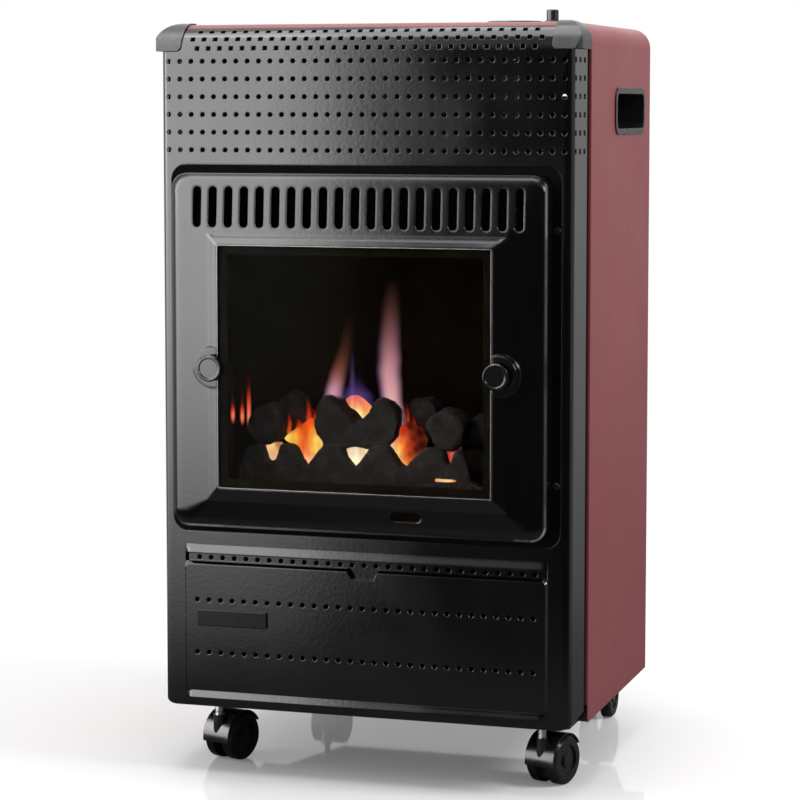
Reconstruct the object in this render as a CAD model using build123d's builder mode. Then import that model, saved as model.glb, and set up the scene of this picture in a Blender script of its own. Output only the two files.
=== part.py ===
"""Portable cabinet gas heater with a living-flame fire, on four twin-wheel casters.

Millimetres, +Z up, the floor at z = 0 and the origin at the centre of the footprint.
The fire faces -Y.  Depths named in comments are measured back from the flat of the
front panel; back(depth) turns such a depth into a model y.
"""

import os
from math import cos, radians, sin

from build123d import *

os.makedirs("parts", exist_ok=True)

# ---------------------------------------------------------------- driving dimensions
body_width = 426.0  # outside of the two coloured side panels
body_top = 735.0  # top sheet above the floor
body_bottom = 67.0  # lower edge of the cabinet above the floor
side_depth = 306.0  # front panel to the rear edge of the side panels
cover_depth = 410.0  # front panel to the back of the rear cover
front_reach = 41.0  # how far the glass knobs stand out of the front panel
sheet = 1.2  # folded sheet steel
gap = 0.3  # seat clearance between separate pieces
screw_radius = 2.0
screw_head_radius = 3.5
screw_head_height = 2.0

corner_margin = 8.0  # the flat front is this much narrower than the body, each side
front_width = body_width - 2 * corner_margin  # across the flat front
front_depth = 43.0  # depth of the folded sides of the front panel
front_flare = 5.5  # how much each folded side widens towards the back
front_edge_radius = 8.0
top_bend_radius = 33.0  # front panel rolling over into the top
side_bend_radius = 20.0  # side panels rolling over into the top
lip_angle = 60.0  # where the black bend hands over to the coloured top
cap_width = 28.0
lip_half_width = body_width / 2 - cap_width  # between the two corner caps

cap_height = 27.5
cap_wall = 1.3
cap_proud = 1.5

half_body = body_width / 2
half_front = front_width / 2
bend_z = body_top - top_bend_radius

hole_size = 5.1  # across the punched holes of the flat rows
square_hole = 4.5  # the same opening, with fewer faces, on the bend and the folded sides
hole_pitch = 11.6
hole_margin = 7.0  # from the edge of the flat front to the first column of holes
hole_columns = int((front_width - 2 * hole_margin) / hole_pitch) + 1
hole_row_pitch = 17.05
hole_rows = 6
bend_to_rows = 88.3  # from the start of the top bend down to the lowest row
first_row_z = bend_z - bend_to_rows
bend_rows = (16.5, 33.5, 50.5)  # degrees round the top bend
bend_columns = int((2 * lip_half_width - 4 * hole_margin) / hole_pitch) + 1
side_hole_depths = (8.0, 19.6, 31.2)

draw_margin = 21.0
draw_half_width = half_front - draw_margin  # pressed mock drawer under the fire
draw_bottom = body_bottom + 13.0
draw_height = 131.0
draw_top = draw_bottom + draw_height
draw_proud = 3.0
draw_row_pitch = 12.14
draw_row_margin = 12.0
draw_row_count = int(2 * (draw_half_width - draw_row_margin) / draw_row_pitch) + 1
draw_rows = (draw_bottom + 41.5, draw_top - 37.5, draw_top + 3.5)
groove_height = 15.0
groove_top = draw_top + groove_height
groove_depth = 4.0
notch_width = 46.0
notch_depth = 9.5

opening_margin = 10.0
opening_width = front_width - 2 * opening_margin  # hole in the front panel for the surround
opening_bottom = groove_top + 15.0
opening_top = first_row_z - 13.7
opening_radius = 15.0

surround_gap = 8.0
surround_reach = 20.0  # outer edge of the fire surround, ahead of the front panel
ridge_reach = 24.0
rim_reach = 32.0
ridge_half_width = opening_width / 2 - 45.0
ridge_bottom = opening_bottom + 34.5
ridge_top = opening_top - 65.5
rim_width = 13.0  # the bevel between the ridge and the rim, at the sides and below
rim_half_width = ridge_half_width - rim_width
rim_bottom = ridge_bottom + rim_width
rim_top = ridge_top - 10.0
ledge_width = 9.0  # the glass rests on this ledge inside the rim
glass_thickness = 4.0
louvre_pitch = 16.0
louvre_width = 8.5
louvre_margin = 24.0
louvre_count = int((opening_width - 2 * (surround_gap + louvre_margin)) / louvre_pitch) + 1
louvre_top = opening_top - 20.5
louvre_height = 39.5
louvre_bottom = louvre_top - louvre_height
lighting_hole_length = 30.0
lighting_hole_height = 9.0
lighting_hole_x = 50.0
lighting_hole_z = ridge_bottom - 7.5
knob_x = rim_half_width + 5.0  # the two glass knobs
knob_z = (rim_bottom + rim_top) / 2 - 1.0
knob_radius = 12.8
knob_pad_radius = 19.5
shank_radius = 4.0

front_plane = (front_reach - cover_depth) / 2  # y of the flat front


def back(depth):
    """Model y of a point that lies this far behind the flat front panel."""
    return front_plane + depth


def round_box_plan(half_width, low, high, radius):
    """Rounded rectangle in the sketch, from its half width and its lower and upper edge."""
    with Locations((0, (low + high) / 2)):
        RectangleRounded(2 * half_width, high - low, radius)


# ---------------------------------------------------------------- front panel
def front_volume(inset, low, rear):
    """Everything behind the skin of the front panel, set back by inset from its outside."""
    half_front_here = half_front - inset
    half_rear_here = half_front + front_flare - inset
    with BuildPart() as volume:
        with BuildSketch(Plane.XY.offset(low)) as plan:
            with BuildLine():
                Polyline(
                    (-half_front_here, back(inset)),
                    (half_front_here, back(inset)),
                    (half_rear_here, back(rear)),
                    (-half_rear_here, back(rear)),
                    close=True,
                )
            make_face()
            fillet(plan.vertices().group_by(Axis.Y)[0], front_edge_radius - inset)
        extrude(amount=body_top - low)
        with BuildSketch(Plane.YZ):
            with BuildLine():
                Line((back(inset), low), (back(inset), bend_z))
                CenterArc((back(top_bend_radius), bend_z), top_bend_radius - inset, 90, 90)
                Line((back(top_bend_radius), body_top - inset), (back(rear), body_top - inset))
                Line((back(rear), body_top - inset), (back(rear), low))
                Line((back(rear), low), (back(inset), low))
            make_face()
        extrude(amount=body_width, both=True, mode=Mode.INTERSECT)
        with BuildSketch(Plane.XZ.offset(-back(0))):
            shoulder = half_front + front_flare + 0.5 - inset
            with Locations((0, (low + body_top - inset) / 2)):
                Rectangle(2 * shoulder, body_top - inset - low)
            top_corners = vertices().group_by(Axis.Z)[-1]
            fillet(top_corners, side_bend_radius - 2 - inset)
        extrude(amount=-(rear + 1), mode=Mode.INTERSECT)
    return volume.part


panel_skin = front_volume(0, body_bottom, front_depth - gap)
panel_hollow = front_volume(sheet, body_bottom - 1, front_depth + 1)
bend_axis = (back(top_bend_radius), bend_z)

with BuildPart() as front_panel:
    add(panel_skin)
    # mock drawer, pressed forward below the fire
    with BuildSketch(Plane.XZ.offset(-back(0))):
        round_box_plan(draw_half_width, draw_bottom, draw_top, 6)
    extrude(amount=draw_proud, taper=40)
    add(panel_hollow, mode=Mode.SUBTRACT)
    with BuildSketch(Plane.XZ.offset(-back(sheet))):
        round_box_plan(draw_half_width - sheet, draw_bottom + sheet, draw_top - sheet, 5)
    extrude(amount=draw_proud, taper=40, mode=Mode.SUBTRACT)
    # the coloured top takes over past the hand-over line round the bend
    with BuildSketch(Plane.YZ):
        with BuildLine():
            low_end = (bend_axis[0] - (top_bend_radius - 2 * sheet) * cos(radians(lip_angle)),
                       bend_axis[1] + (top_bend_radius - 2 * sheet) * sin(radians(lip_angle)))
            high_end = (bend_axis[0] - 2 * top_bend_radius * cos(radians(lip_angle)),
                        bend_axis[1] + 2 * top_bend_radius * sin(radians(lip_angle)))
            rear = back(front_depth + 1)
            Polyline(low_end, high_end, (rear, high_end[1]), (rear, low_end[1]), close=True)
        make_face()
    extrude(amount=body_width, both=True, mode=Mode.SUBTRACT)
    # opening for the fire surround
    with BuildSketch(Plane.XZ.offset(-back(2 * sheet))):
        round_box_plan(opening_width / 2, opening_bottom, opening_top, opening_radius)
    extrude(amount=4 * sheet, mode=Mode.SUBTRACT)
    # shadow groove along the top of the drawer, with its finger notch
    with BuildSketch(Plane.XZ.offset(-back(0))):
        round_box_plan(draw_half_width, draw_top - sheet, groove_top + sheet, 1)
        with Locations((0, draw_top)):
            Trapezoid(notch_width, 2 * (notch_depth + sheet), 60, rotation=180)
    extrude(amount=-(groove_depth + sheet))
    with BuildSketch(Plane.XZ.offset(-back(-draw_proud - 1))):
        round_box_plan(draw_half_width - sheet, draw_top, groove_top, 1)
        with Locations((0, draw_top)):
            Trapezoid(notch_width - 2 * sheet, 2 * notch_depth, 60, rotation=180)
    extrude(amount=-(groove_depth + draw_proud + 1), mode=Mode.SUBTRACT)
    # punched air rows: on the flat, round the folded sides and over the top bend
    flat_rows_z = first_row_z + (hole_rows - 1) * hole_row_pitch / 2
    with BuildSketch(Plane.XZ.offset(-back(-2 * draw_proud))):
        with Locations((0, flat_rows_z)):
            with GridLocations(hole_pitch, hole_row_pitch, hole_columns, hole_rows):
                RegularPolygon(hole_size / 2, 6)
        for row_z in draw_rows:
            with Locations((0, row_z)):
                with GridLocations(draw_row_pitch, 1, draw_row_count, 1):
                    RegularPolygon(hole_size / 2, 6)
    extrude(amount=-(2 * draw_proud + 2 * groove_depth), mode=Mode.SUBTRACT)
    with BuildSketch(Plane.YZ.offset(-half_body)):
        with Locations((back(side_hole_depths[1]), flat_rows_z)):
            with GridLocations(hole_pitch, hole_row_pitch, len(side_hole_depths), hole_rows):
                Rectangle(square_hole, square_hole)
    extrude(amount=body_width, mode=Mode.SUBTRACT)
    for row, angle in enumerate(bend_rows):
        reach = cos(radians(angle)) * top_bend_radius
        rise = sin(radians(angle)) * top_bend_radius
        row_plane = Plane(
            origin=(0, back(top_bend_radius - reach), bend_z + rise),
            x_dir=(1, 0, 0),
            z_dir=(0, -reach, rise),
        ).offset(sheet)
        with BuildSketch(row_plane):
            with GridLocations(hole_pitch, 1, bend_columns + row % 2, 1):
                Rectangle(square_hole, square_hole)
        extrude(amount=-3 * sheet, mode=Mode.SUBTRACT)
front_panel.part.label = "front_panel"
export_step(front_panel.part, "parts/front_panel.step")


# ---------------------------------------------------------------- coloured cabinet
knob_well_x = half_body - 92.0
knob_well_depth_back = 110.0
knob_well_radius = 25.0
button_x = knob_well_x + 37.0
button_hole_radius = 7.3
return_width = 16.0  # edges of the wrap folded inwards
tray_relief = 16.0  # the folds stop this far above the lower edge, clear of the base tray
fold_middle = half_body - return_width / 2
rear_screw_places = [
    (x, z) for x in (-fold_middle, fold_middle) for z in (body_top - 95.0, body_top - 35.0)
]
handle_rear = side_depth - 34.0
handle_front = handle_rear - 126.0
handle_top = body_top - 65.0
handle_bottom = handle_top - 38.0
handle_radius = 9.0


def wrap_face(inset, low):
    """Face of the cabinet wrap from its outside less inset: flat sides, rounded shoulders."""
    top = body_top - inset
    with BuildSketch() as face:
        with Locations((0, (top + low) / 2)):
            Rectangle(body_width - 2 * inset, top - low)
        fillet(face.vertices().group_by(Axis.Y)[-1], side_bend_radius - inset)
    return face.sketch


with BuildPart() as cabinet_shell:
    with BuildSketch(Plane.XZ.offset(-back(front_depth))):
        add(wrap_face(0, body_bottom))
        add(wrap_face(sheet, body_bottom - 1), mode=Mode.SUBTRACT)
    extrude(amount=-(side_depth - front_depth))
    # front edges folded in behind the sides of the front panel
    with BuildSketch(Plane.XZ.offset(-back(front_depth))):
        add(wrap_face(0, body_bottom))
        add(wrap_face(return_width, body_bottom - 1), mode=Mode.SUBTRACT)
        with Locations((0, body_top)):
            Rectangle(2 * half_front, 4 * return_width, mode=Mode.SUBTRACT)
        with Locations((0, body_bottom)):
            Rectangle(2 * (half_body - sheet), 2 * tray_relief, mode=Mode.SUBTRACT)
    extrude(amount=-sheet)
    # rear edges folded in for the rear cover
    with BuildSketch(Plane.XZ.offset(-back(side_depth - sheet))):
        add(wrap_face(0, body_bottom))
        add(wrap_face(return_width, body_bottom - 1), mode=Mode.SUBTRACT)
        with Locations((0, body_bottom)):
            Rectangle(2 * (half_body - sheet), 2 * tray_relief, mode=Mode.SUBTRACT)
        with Locations(*rear_screw_places):
            Circle(screw_radius + gap, mode=Mode.SUBTRACT)
    extrude(amount=-sheet)
    # lip that carries the top sheet down onto the front bend
    with BuildSketch(Plane.YZ):
        with BuildLine():
            lip_start = lip_angle + 1
            outer = CenterArc(
                (back(top_bend_radius), bend_z), top_bend_radius, 90, 90 - lip_start
            )
            inner = CenterArc(
                (back(top_bend_radius), bend_z), top_bend_radius - sheet, 90, 90 - lip_start
            )
            Line(outer @ 1, inner @ 1)
            Line(outer @ 0, (back(front_depth + 1), body_top))
            Line((back(front_depth + 1), body_top), (back(front_depth + 1), body_top - sheet))
            Line((back(front_depth + 1), body_top - sheet), inner @ 0)
        make_face()
    extrude(amount=lip_half_width - gap, both=True)
    # well for the control knob and hole for the igniter button
    with BuildSketch(Plane.XY.offset(body_top + 1)):
        with Locations((knob_well_x, back(knob_well_depth_back))):
            Circle(knob_well_radius + gap)
        with Locations((button_x, back(knob_well_depth_back))):
            Circle(button_hole_radius)
    extrude(amount=-(1 + 2 * sheet), mode=Mode.SUBTRACT)
    # holes for the two recessed hand grips
    with BuildSketch(Plane.YZ):
        with Locations((back((handle_front + handle_rear) / 2), (handle_bottom + handle_top) / 2)):
            RectangleRounded(
                handle_rear - handle_front, handle_top - handle_bottom, handle_radius
            )
    extrude(amount=body_width, both=True, mode=Mode.SUBTRACT)
    fold_edges = (
        cabinet_shell.edges()
        .filter_by(Axis.Z)
        .filter_by_position(Axis.Y, back(front_depth) - 0.01, back(front_depth) + 0.01)
    )
    outer_folds = [edge for edge in fold_edges if abs(edge.center().X) > half_body - 0.01]
    fillet(outer_folds, 0.8 * sheet)
cabinet_shell.part.label = "cabinet_shell"
export_step(cabinet_shell.part, "parts/cabinet_shell.step")


# ---------------------------------------------------------------- corner caps
def corner_volume(inset):
    """Volume behind the outside of both corner caps, less inset."""
    front = back(-cap_proud + inset)
    rear = back(front_depth - gap)
    top = body_top + cap_proud - inset
    with BuildPart() as volume:
        with BuildSketch(Plane.XY.offset(bend_z - 60)) as plan:
            with Locations((0, (front + rear) / 2)):
                Rectangle(body_width - 2 * inset, rear - front)
            fillet(
                plan.vertices().group_by(Axis.Y)[0],
                front_edge_radius + cap_proud - inset,
            )
        extrude(amount=top - bend_z + 60)
        with BuildSketch(Plane.YZ):
            with BuildLine():
                radius = top_bend_radius + cap_proud - inset
                center = (back(top_bend_radius), bend_z)
                arc = CenterArc(center, radius, 90, 90)
                Line(arc @ 0, (rear, top))
                Line((rear, top), (rear, bend_z - 60))
                Line((rear, bend_z - 60), (front, bend_z - 60))
                Line((front, bend_z - 60), arc @ 1)
            make_face()
        extrude(amount=body_width, both=True, mode=Mode.INTERSECT)
        with BuildSketch(Plane.XZ.offset(-front + 1)) as elevation:
            with Locations((0, (top + bend_z - 60) / 2)):
                Rectangle(body_width - 2 * inset, top - bend_z + 60)
            fillet(elevation.vertices().group_by(Axis.Y)[-1], side_bend_radius - inset)
        extrude(amount=-(rear - front + 2), mode=Mode.INTERSECT)
    return volume.part


cap_outside = corner_volume(0)
cap_inside = corner_volume(cap_wall)


def corner_cap(side, name):
    """One moulded cap over the corner where the front, the side and the top meet."""
    inner_x = lip_half_width
    with BuildPart() as cap:
        add(cap_outside)
        add(cap_inside, mode=Mode.SUBTRACT)
        with BuildSketch(Plane.XZ.offset(-back(-5))) as patch:
            low = body_top + cap_proud - cap_height
            with Locations((side * (inner_x + half_body) / 2, (low + body_top + 5) / 2)):
                Rectangle(half_body - inner_x, body_top + 5 - low)
            fillet(patch.vertices().group_by(Axis.Y)[0].sort_by(Axis.X)[0 if side > 0 else -1], 5)
        extrude(amount=-(front_depth + 5 + sheet), mode=Mode.INTERSECT)
    cap.part.label = name
    export_step(cap.part, f"parts/{name}.step")


corner_cap(-1, "corner_cap_left")
corner_cap(1, "corner_cap_right")


# ---------------------------------------------------------------- fire surround
surround_half = opening_width / 2 - surround_gap
surround_bottom = opening_bottom + surround_gap
surround_top = opening_top - surround_gap
flange_overlap = 3.0
pocket_clear = 1.0
glass_front = rim_reach - gap
ledge_reach = glass_front - glass_thickness - gap
surround_screw_x = surround_half + surround_gap / 2  # in the dark groove round the surround
surround_screw_places = [
    (x * surround_screw_x, z) for x in (-1, 1) for z in (surround_bottom + 51, surround_top - 52)
]


def frame_face(depth_back, half_width, low, high, radius):
    """Rounded rectangle facing forwards at the given depth, for the lofted surround."""
    with BuildSketch(Plane.XZ.offset(-back(depth_back))) as face:
        round_box_plan(half_width, low, high, radius)
    return face.sketch.face()


def surround_volume(inset, rear):
    """The stepped frame: a straight edge, a shallow slope to the ridge, a bevel to the rim."""
    edge = frame_face(
        inset - surround_reach,
        surround_half - inset,
        surround_bottom + inset,
        surround_top - inset,
        opening_radius - inset,
    )
    ridge = frame_face(
        inset - ridge_reach,
        ridge_half_width - inset,
        ridge_bottom + inset,
        ridge_top - inset,
        2,
    )
    bevel_share = (rim_reach - ledge_reach) / (rim_reach - ridge_reach) if inset else 0
    rim_depth = rim_reach - bevel_share * (rim_reach - ridge_reach) - inset
    rim_out = bevel_share * (ridge_half_width - rim_half_width) - inset if inset else 0
    rim = frame_face(
        -rim_depth if inset else -rim_reach,
        rim_half_width + rim_out,
        rim_bottom - rim_out,
        rim_top + rim_out,
        2,
    )
    with BuildPart() as volume:
        extrude(edge, amount=-(surround_reach - inset + rear))
        loft([edge, ridge], ruled=True)
        loft([ridge, rim], ruled=True)
    return volume.part


with BuildPart() as fire_surround:
    add(surround_volume(0, sheet + gap + sheet))
    for side in (-1, 1):
        with BuildSketch(Plane.XZ.offset(-back(-rim_reach))):
            with Locations((side * knob_x, knob_z)):
                Circle(knob_pad_radius)
        extrude(amount=-(rim_reach - surround_reach), taper=-4)
    add(surround_volume(sheet, sheet + gap + sheet + 1), mode=Mode.SUBTRACT)
    # pocket for the glass and the view through it
    with BuildSketch(Plane.XZ.offset(-back(-rim_reach))):
        pocket = rim_half_width - pocket_clear
        round_box_plan(pocket, rim_bottom + pocket_clear, rim_top - pocket_clear, 1.5)
    extrude(amount=-(rim_reach - ledge_reach), mode=Mode.SUBTRACT)
    with BuildSketch(Plane.XZ.offset(-back(-rim_reach))):
        view = pocket - ledge_width + 1
        view_low = rim_bottom + ledge_width
        view_high = rim_top - ledge_width
        round_box_plan(view, view_low, view_high, 3)
    extrude(amount=-(rim_reach + sheet), mode=Mode.SUBTRACT)
    # flange that the surround is screwed by, behind the edge of the opening
    with BuildSketch(Plane.XZ.offset(-back(sheet + gap))):
        flange = surround_gap + flange_overlap
        round_box_plan(
            surround_half + flange,
            surround_bottom - flange,
            surround_top + flange,
            opening_radius + flange_overlap,
        )
        round_box_plan(
            surround_half - sheet, surround_bottom + sheet, surround_top - sheet, opening_radius
        )
    extrude(amount=-sheet)
    with BuildSketch(Plane.XZ.offset(-back(-surround_reach))):
        round_box_plan(
            surround_half - sheet,
            surround_bottom + sheet,
            surround_top - sheet,
            opening_radius - sheet,
        )
    extrude(amount=-(surround_reach + 3 * sheet), mode=Mode.SUBTRACT)
    # louvres, the lighting hole and the holes for the glass knobs
    with BuildSketch(Plane.XZ.offset(-back(-rim_reach))):
        with Locations((0, (louvre_bottom + louvre_top) / 2)):
            with GridLocations(louvre_pitch, 1, louvre_count, 1):
                SlotOverall(louvre_top - louvre_bottom, louvre_width, rotation=90)
        with Locations((lighting_hole_x, lighting_hole_z)):
            SlotOverall(lighting_hole_length, lighting_hole_height)
        with Locations((-knob_x, knob_z), (knob_x, knob_z)):
            Circle(shank_radius + gap)
    extrude(amount=-(rim_reach - 5), mode=Mode.SUBTRACT)
    with BuildSketch(Plane.XZ.offset(-back(sheet))):
        with Locations(*surround_screw_places):
            Circle(screw_radius + gap)
    extrude(amount=-2 * sheet, mode=Mode.SUBTRACT)
fire_surround.part.label = "fire_surround"
export_step(fire_surround.part, "parts/fire_surround.step")


# ---------------------------------------------------------------- glass and its knobs
with BuildPart() as window_glass:
    with BuildSketch(Plane.XZ.offset(-back(-glass_front))):
        edge_room = pocket_clear + gap
        round_box_plan(
            rim_half_width - edge_room, rim_bottom + edge_room, rim_top - edge_room, 1.2
        )
    extrude(amount=-glass_thickness)
window_glass.part.label = "window_glass"
export_step(window_glass.part, "parts/window_glass.step")


def glass_knob(side, name):
    """Thumb screw: dished disc, neck that bears on the surround, and its threaded shank."""
    with BuildPart() as knob:
        profile_plane = Plane(origin=(side * knob_x, back(0), knob_z), x_dir=(1, 0, 0))
        with BuildSketch(profile_plane):
            with BuildLine():
                Polyline(
                    (0, 0.8 - front_reach),
                    (knob_radius - 3.4, 0.8 - front_reach),
                    (knob_radius - 2.8, -front_reach),
                    (knob_radius - 1.2, -front_reach),
                    (knob_radius, 1.2 - front_reach),
                    (knob_radius, 6.5 - front_reach),
                    (knob_radius - 3.8, 6.5 - front_reach),
                    (knob_radius - 3.8, -rim_reach - gap),
                    (shank_radius, -rim_reach - gap),
                    (shank_radius, -surround_reach + 5),
                    (0, -surround_reach + 5),
                    close=True,
                )
            make_face()
        revolve(axis=Axis((side * knob_x, 0, knob_z), (0, 1, 0)))
    knob.part.label = name
    export_step(knob.part, f"parts/{name}.step")


glass_knob(-1, "glass_knob_left")
glass_knob(1, "glass_knob_right")


# ---------------------------------------------------------------- firebox
firebox_half = surround_half - 15.0
firebox_bottom = rim_bottom - 18.5
firebox_top = rim_top + 7.5
firebox_rear = 100.0
firebox_front = 2 * (sheet + gap)
burner_depth = 60.0
burner_inlet_x = knob_well_x
burner_inlet_radius = 7.5
burner_stub = 9.0
burner_pipe_radius = 3.0
burner_half = rim_half_width - 7.0
pilot_x = -(burner_half + 10.0)
pilot_pipe_radius = 2.0
pipe_seat = 6.0  # how deep each pipe end sits in its socket

with BuildPart() as firebox:
    with BuildSketch(Plane.XZ.offset(-back(firebox_front))):
        flange = surround_gap + flange_overlap - 2
        round_box_plan(
            surround_half + flange,
            surround_bottom - flange,
            surround_top + flange,
            opening_radius,
        )
        with Locations((0, (firebox_bottom + surround_top) / 2)):
            Rectangle(
                2 * (firebox_half - sheet),
                surround_top - firebox_bottom - 2 * sheet,
                mode=Mode.SUBTRACT,
            )
        with Locations(*surround_screw_places):
            Circle(screw_radius + gap, mode=Mode.SUBTRACT)
    extrude(amount=-sheet)
    with BuildSketch(Plane.XZ.offset(-back(firebox_front))):
        round_box_plan(firebox_half, firebox_bottom, firebox_top, 3)
    extrude(amount=-(firebox_rear - firebox_front))
    with BuildSketch(Plane.XZ.offset(-back(firebox_front))):
        round_box_plan(firebox_half - sheet, firebox_bottom + sheet, firebox_top - sheet, 2)
    extrude(amount=-(firebox_rear - firebox_front - sheet), mode=Mode.SUBTRACT)
    with BuildSketch(Plane.XY.offset(firebox_top + 1)):
        with Locations((0, back(firebox_rear / 2))):
            with GridLocations(100, 1, 3, 1):
                SlotOverall(80, 30)
    extrude(amount=-(1 + 2 * sheet), mode=Mode.SUBTRACT)
    with BuildSketch(Plane.XY.offset(firebox_bottom - 1)):
        with Locations((burner_inlet_x, back(burner_depth))):
            Circle(burner_inlet_radius + gap)
        with Locations((pilot_x, back(burner_depth))):
            Circle(pilot_pipe_radius + gap)
    extrude(amount=1 + 2 * sheet, mode=Mode.SUBTRACT)
firebox.part.label = "firebox"
export_step(firebox.part, "parts/firebox.step")

hearth_z = firebox_bottom + sheet + gap  # underside of what stands on the firebox floor
burner_width = 46.0
burner_height = 17.5
rail_front = 12.0
rail_thickness = 14.0
rail_height = 50.0
rail_notches = (-90.0, 1.0, 92.0)

with BuildPart() as burner:
    with BuildSketch(Plane.XY.offset(hearth_z)):
        with Locations((0, back(burner_depth))):
            RectangleRounded(2 * burner_half, burner_width, 8)
    extrude(amount=burner_height)
    chamfer(burner.faces().sort_by(Axis.Z)[-1].edges(), 2)
    with BuildSketch(Plane.XY.offset(hearth_z + burner_height)):
        with Locations((0, back(burner_depth))):
            with GridLocations(24, 18, 10, 2):
                Rectangle(14, 3)
    extrude(amount=-5, mode=Mode.SUBTRACT)
    with BuildSketch(Plane.XY.offset(hearth_z)):
        with Locations((burner_inlet_x, back(burner_depth))):
            Circle(burner_inlet_radius)
    extrude(amount=-burner_stub)
    with BuildSketch(Plane.XY.offset(hearth_z - burner_stub)):
        with Locations((burner_inlet_x, back(burner_depth))):
            Circle(burner_pipe_radius + gap)
    extrude(amount=pipe_seat + gap, mode=Mode.SUBTRACT)
burner.part.label = "burner"
export_step(burner.part, "parts/burner.step")

with BuildPart() as fire_rail:
    with BuildSketch(Plane.XZ.offset(-back(rail_front))):
        with Locations((0, hearth_z + rail_height / 2)):
            Rectangle(2 * burner_half, rail_height)
        for x in rail_notches:
            with Locations((x, hearth_z + rail_height)):
                Polygon((-13, 1), (13, 1), (3, -24), (-3, -24), mode=Mode.SUBTRACT)
        for x in (-46, 47):
            with Locations((x, hearth_z + rail_height)):
                Polygon((-9, 1), (9, 1), (4, -9), (-4, -9), mode=Mode.SUBTRACT)
    extrude(amount=-rail_thickness)
    rail_rims = fire_rail.faces().sort_by(Axis.Y)[0].edges()
    chamfer(rail_rims.filter_by(Axis.X).sort_by(Axis.Z)[1:], 1.5)
fire_rail.part.label = "fire_rail"
export_step(fire_rail.part, "parts/fire_rail.step")

# lumps of imitation coal: centre x, depth, underside z, width, depth across, height, turn
lower_coal_z = hearth_z + burner_height + gap
lower_coal_height = 35.0
upper_coal_z = lower_coal_z + lower_coal_height + gap
coal_lumps = (
    (-113, 57, lower_coal_z, 30, 36, lower_coal_height, 10),
    (-79, 52, lower_coal_z, 36, 38, lower_coal_height, 35),
    (-40, 58, lower_coal_z, 37, 38, lower_coal_height, 50),
    (0, 52, lower_coal_z, 38, 38, lower_coal_height, 0),
    (37, 58, lower_coal_z, 29, 36, lower_coal_height, 25),
    (66, 52, lower_coal_z, 26, 36, lower_coal_height, 20),
    (98, 52, lower_coal_z, 34, 38, lower_coal_height, 40),
    (-79, 50, upper_coal_z, 52, 34, 44, 15),
    (0, 50, upper_coal_z, 78, 36, 50, 0),
    (64, 50, upper_coal_z, 28, 32, 38, 30),
    (97, 50, upper_coal_z, 35, 32, 34, 5),
)
with BuildPart() as coals:
    for x, depth, z, width, across, height, turn in coal_lumps:
        sections = []
        for share, swell, twist in ((0, 0.6, 0), (0.4, 1.0, 12), (0.8, 0.85, -8), (1, 0.45, 15)):
            place = Plane(origin=(x, back(depth), z + share * height))
            with BuildSketch(place) as section:
                RegularPolygon(0.5, 7, rotation=turn + twist)
                scale(by=(width * swell, across * swell, 1))
            sections.append(section.sketch.face())
        loft(sections, ruled=True)
coals.part.label = "coals"
export_step(coals.part, "parts/coals.step")

with BuildPart() as pilot_burner:
    with Locations((pilot_x, back(burner_depth), hearth_z)):
        Box(14, 12, 28, align=(Align.CENTER, Align.CENTER, Align.MIN))
    chamfer(pilot_burner.faces().sort_by(Axis.Z)[-1].edges(), 1.5)
    with Locations((pilot_x + 5, back(burner_depth), hearth_z + 22)):
        Cylinder(3.5, 8, rotation=(0, 90, 0), align=(Align.CENTER, Align.CENTER, Align.MIN))
    with Locations((pilot_x, back(burner_depth), hearth_z)):
        Cylinder(pilot_pipe_radius + gap, 14, mode=Mode.SUBTRACT)
pilot_burner.part.label = "pilot_burner"
export_step(pilot_burner.part, "parts/pilot_burner.step")


def hearth_probe(depth, height, sleeve_height, name):
    """Upright probe beside the pilot: a thick sleeve with a thinner rod out of its top."""
    with BuildPart() as probe:
        with Locations((pilot_x, back(depth), hearth_z)):
            Cylinder(3, sleeve_height, align=(Align.CENTER, Align.CENTER, Align.MIN))
            Cylinder(1.5, height, align=(Align.CENTER, Align.CENTER, Align.MIN))
    probe.part.label = name
    export_step(probe.part, f"parts/{name}.step")


hearth_probe(burner_depth + 12, 30, 20, "igniter_electrode")
hearth_probe(burner_depth - 12, 34, 14, "thermocouple")


# ---------------------------------------------------------------- gas train
valve_width = 36.0
valve_across = 30.0
valve_top = body_top - 35.0
valve_bottom = valve_top - 60.0
spindle_radius = 4.0
pipe_bend = 15.0
pipe_run_z = firebox_bottom - 25.0  # the pipes pass under the firebox at this height
pipe_drop_depth = (firebox_rear + gap + 2 * burner_pipe_radius + firebox_rear + 10) / 2
pilot_run_depth = knob_well_depth_back + 2
pilot_run_z = valve_bottom + 18
inlet_z = valve_bottom + 30
inlet_radius = 4.0
inlet_collar = 7.0
inlet_reach = 50.0
valve_rear = knob_well_depth_back + valve_across / 2

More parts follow.
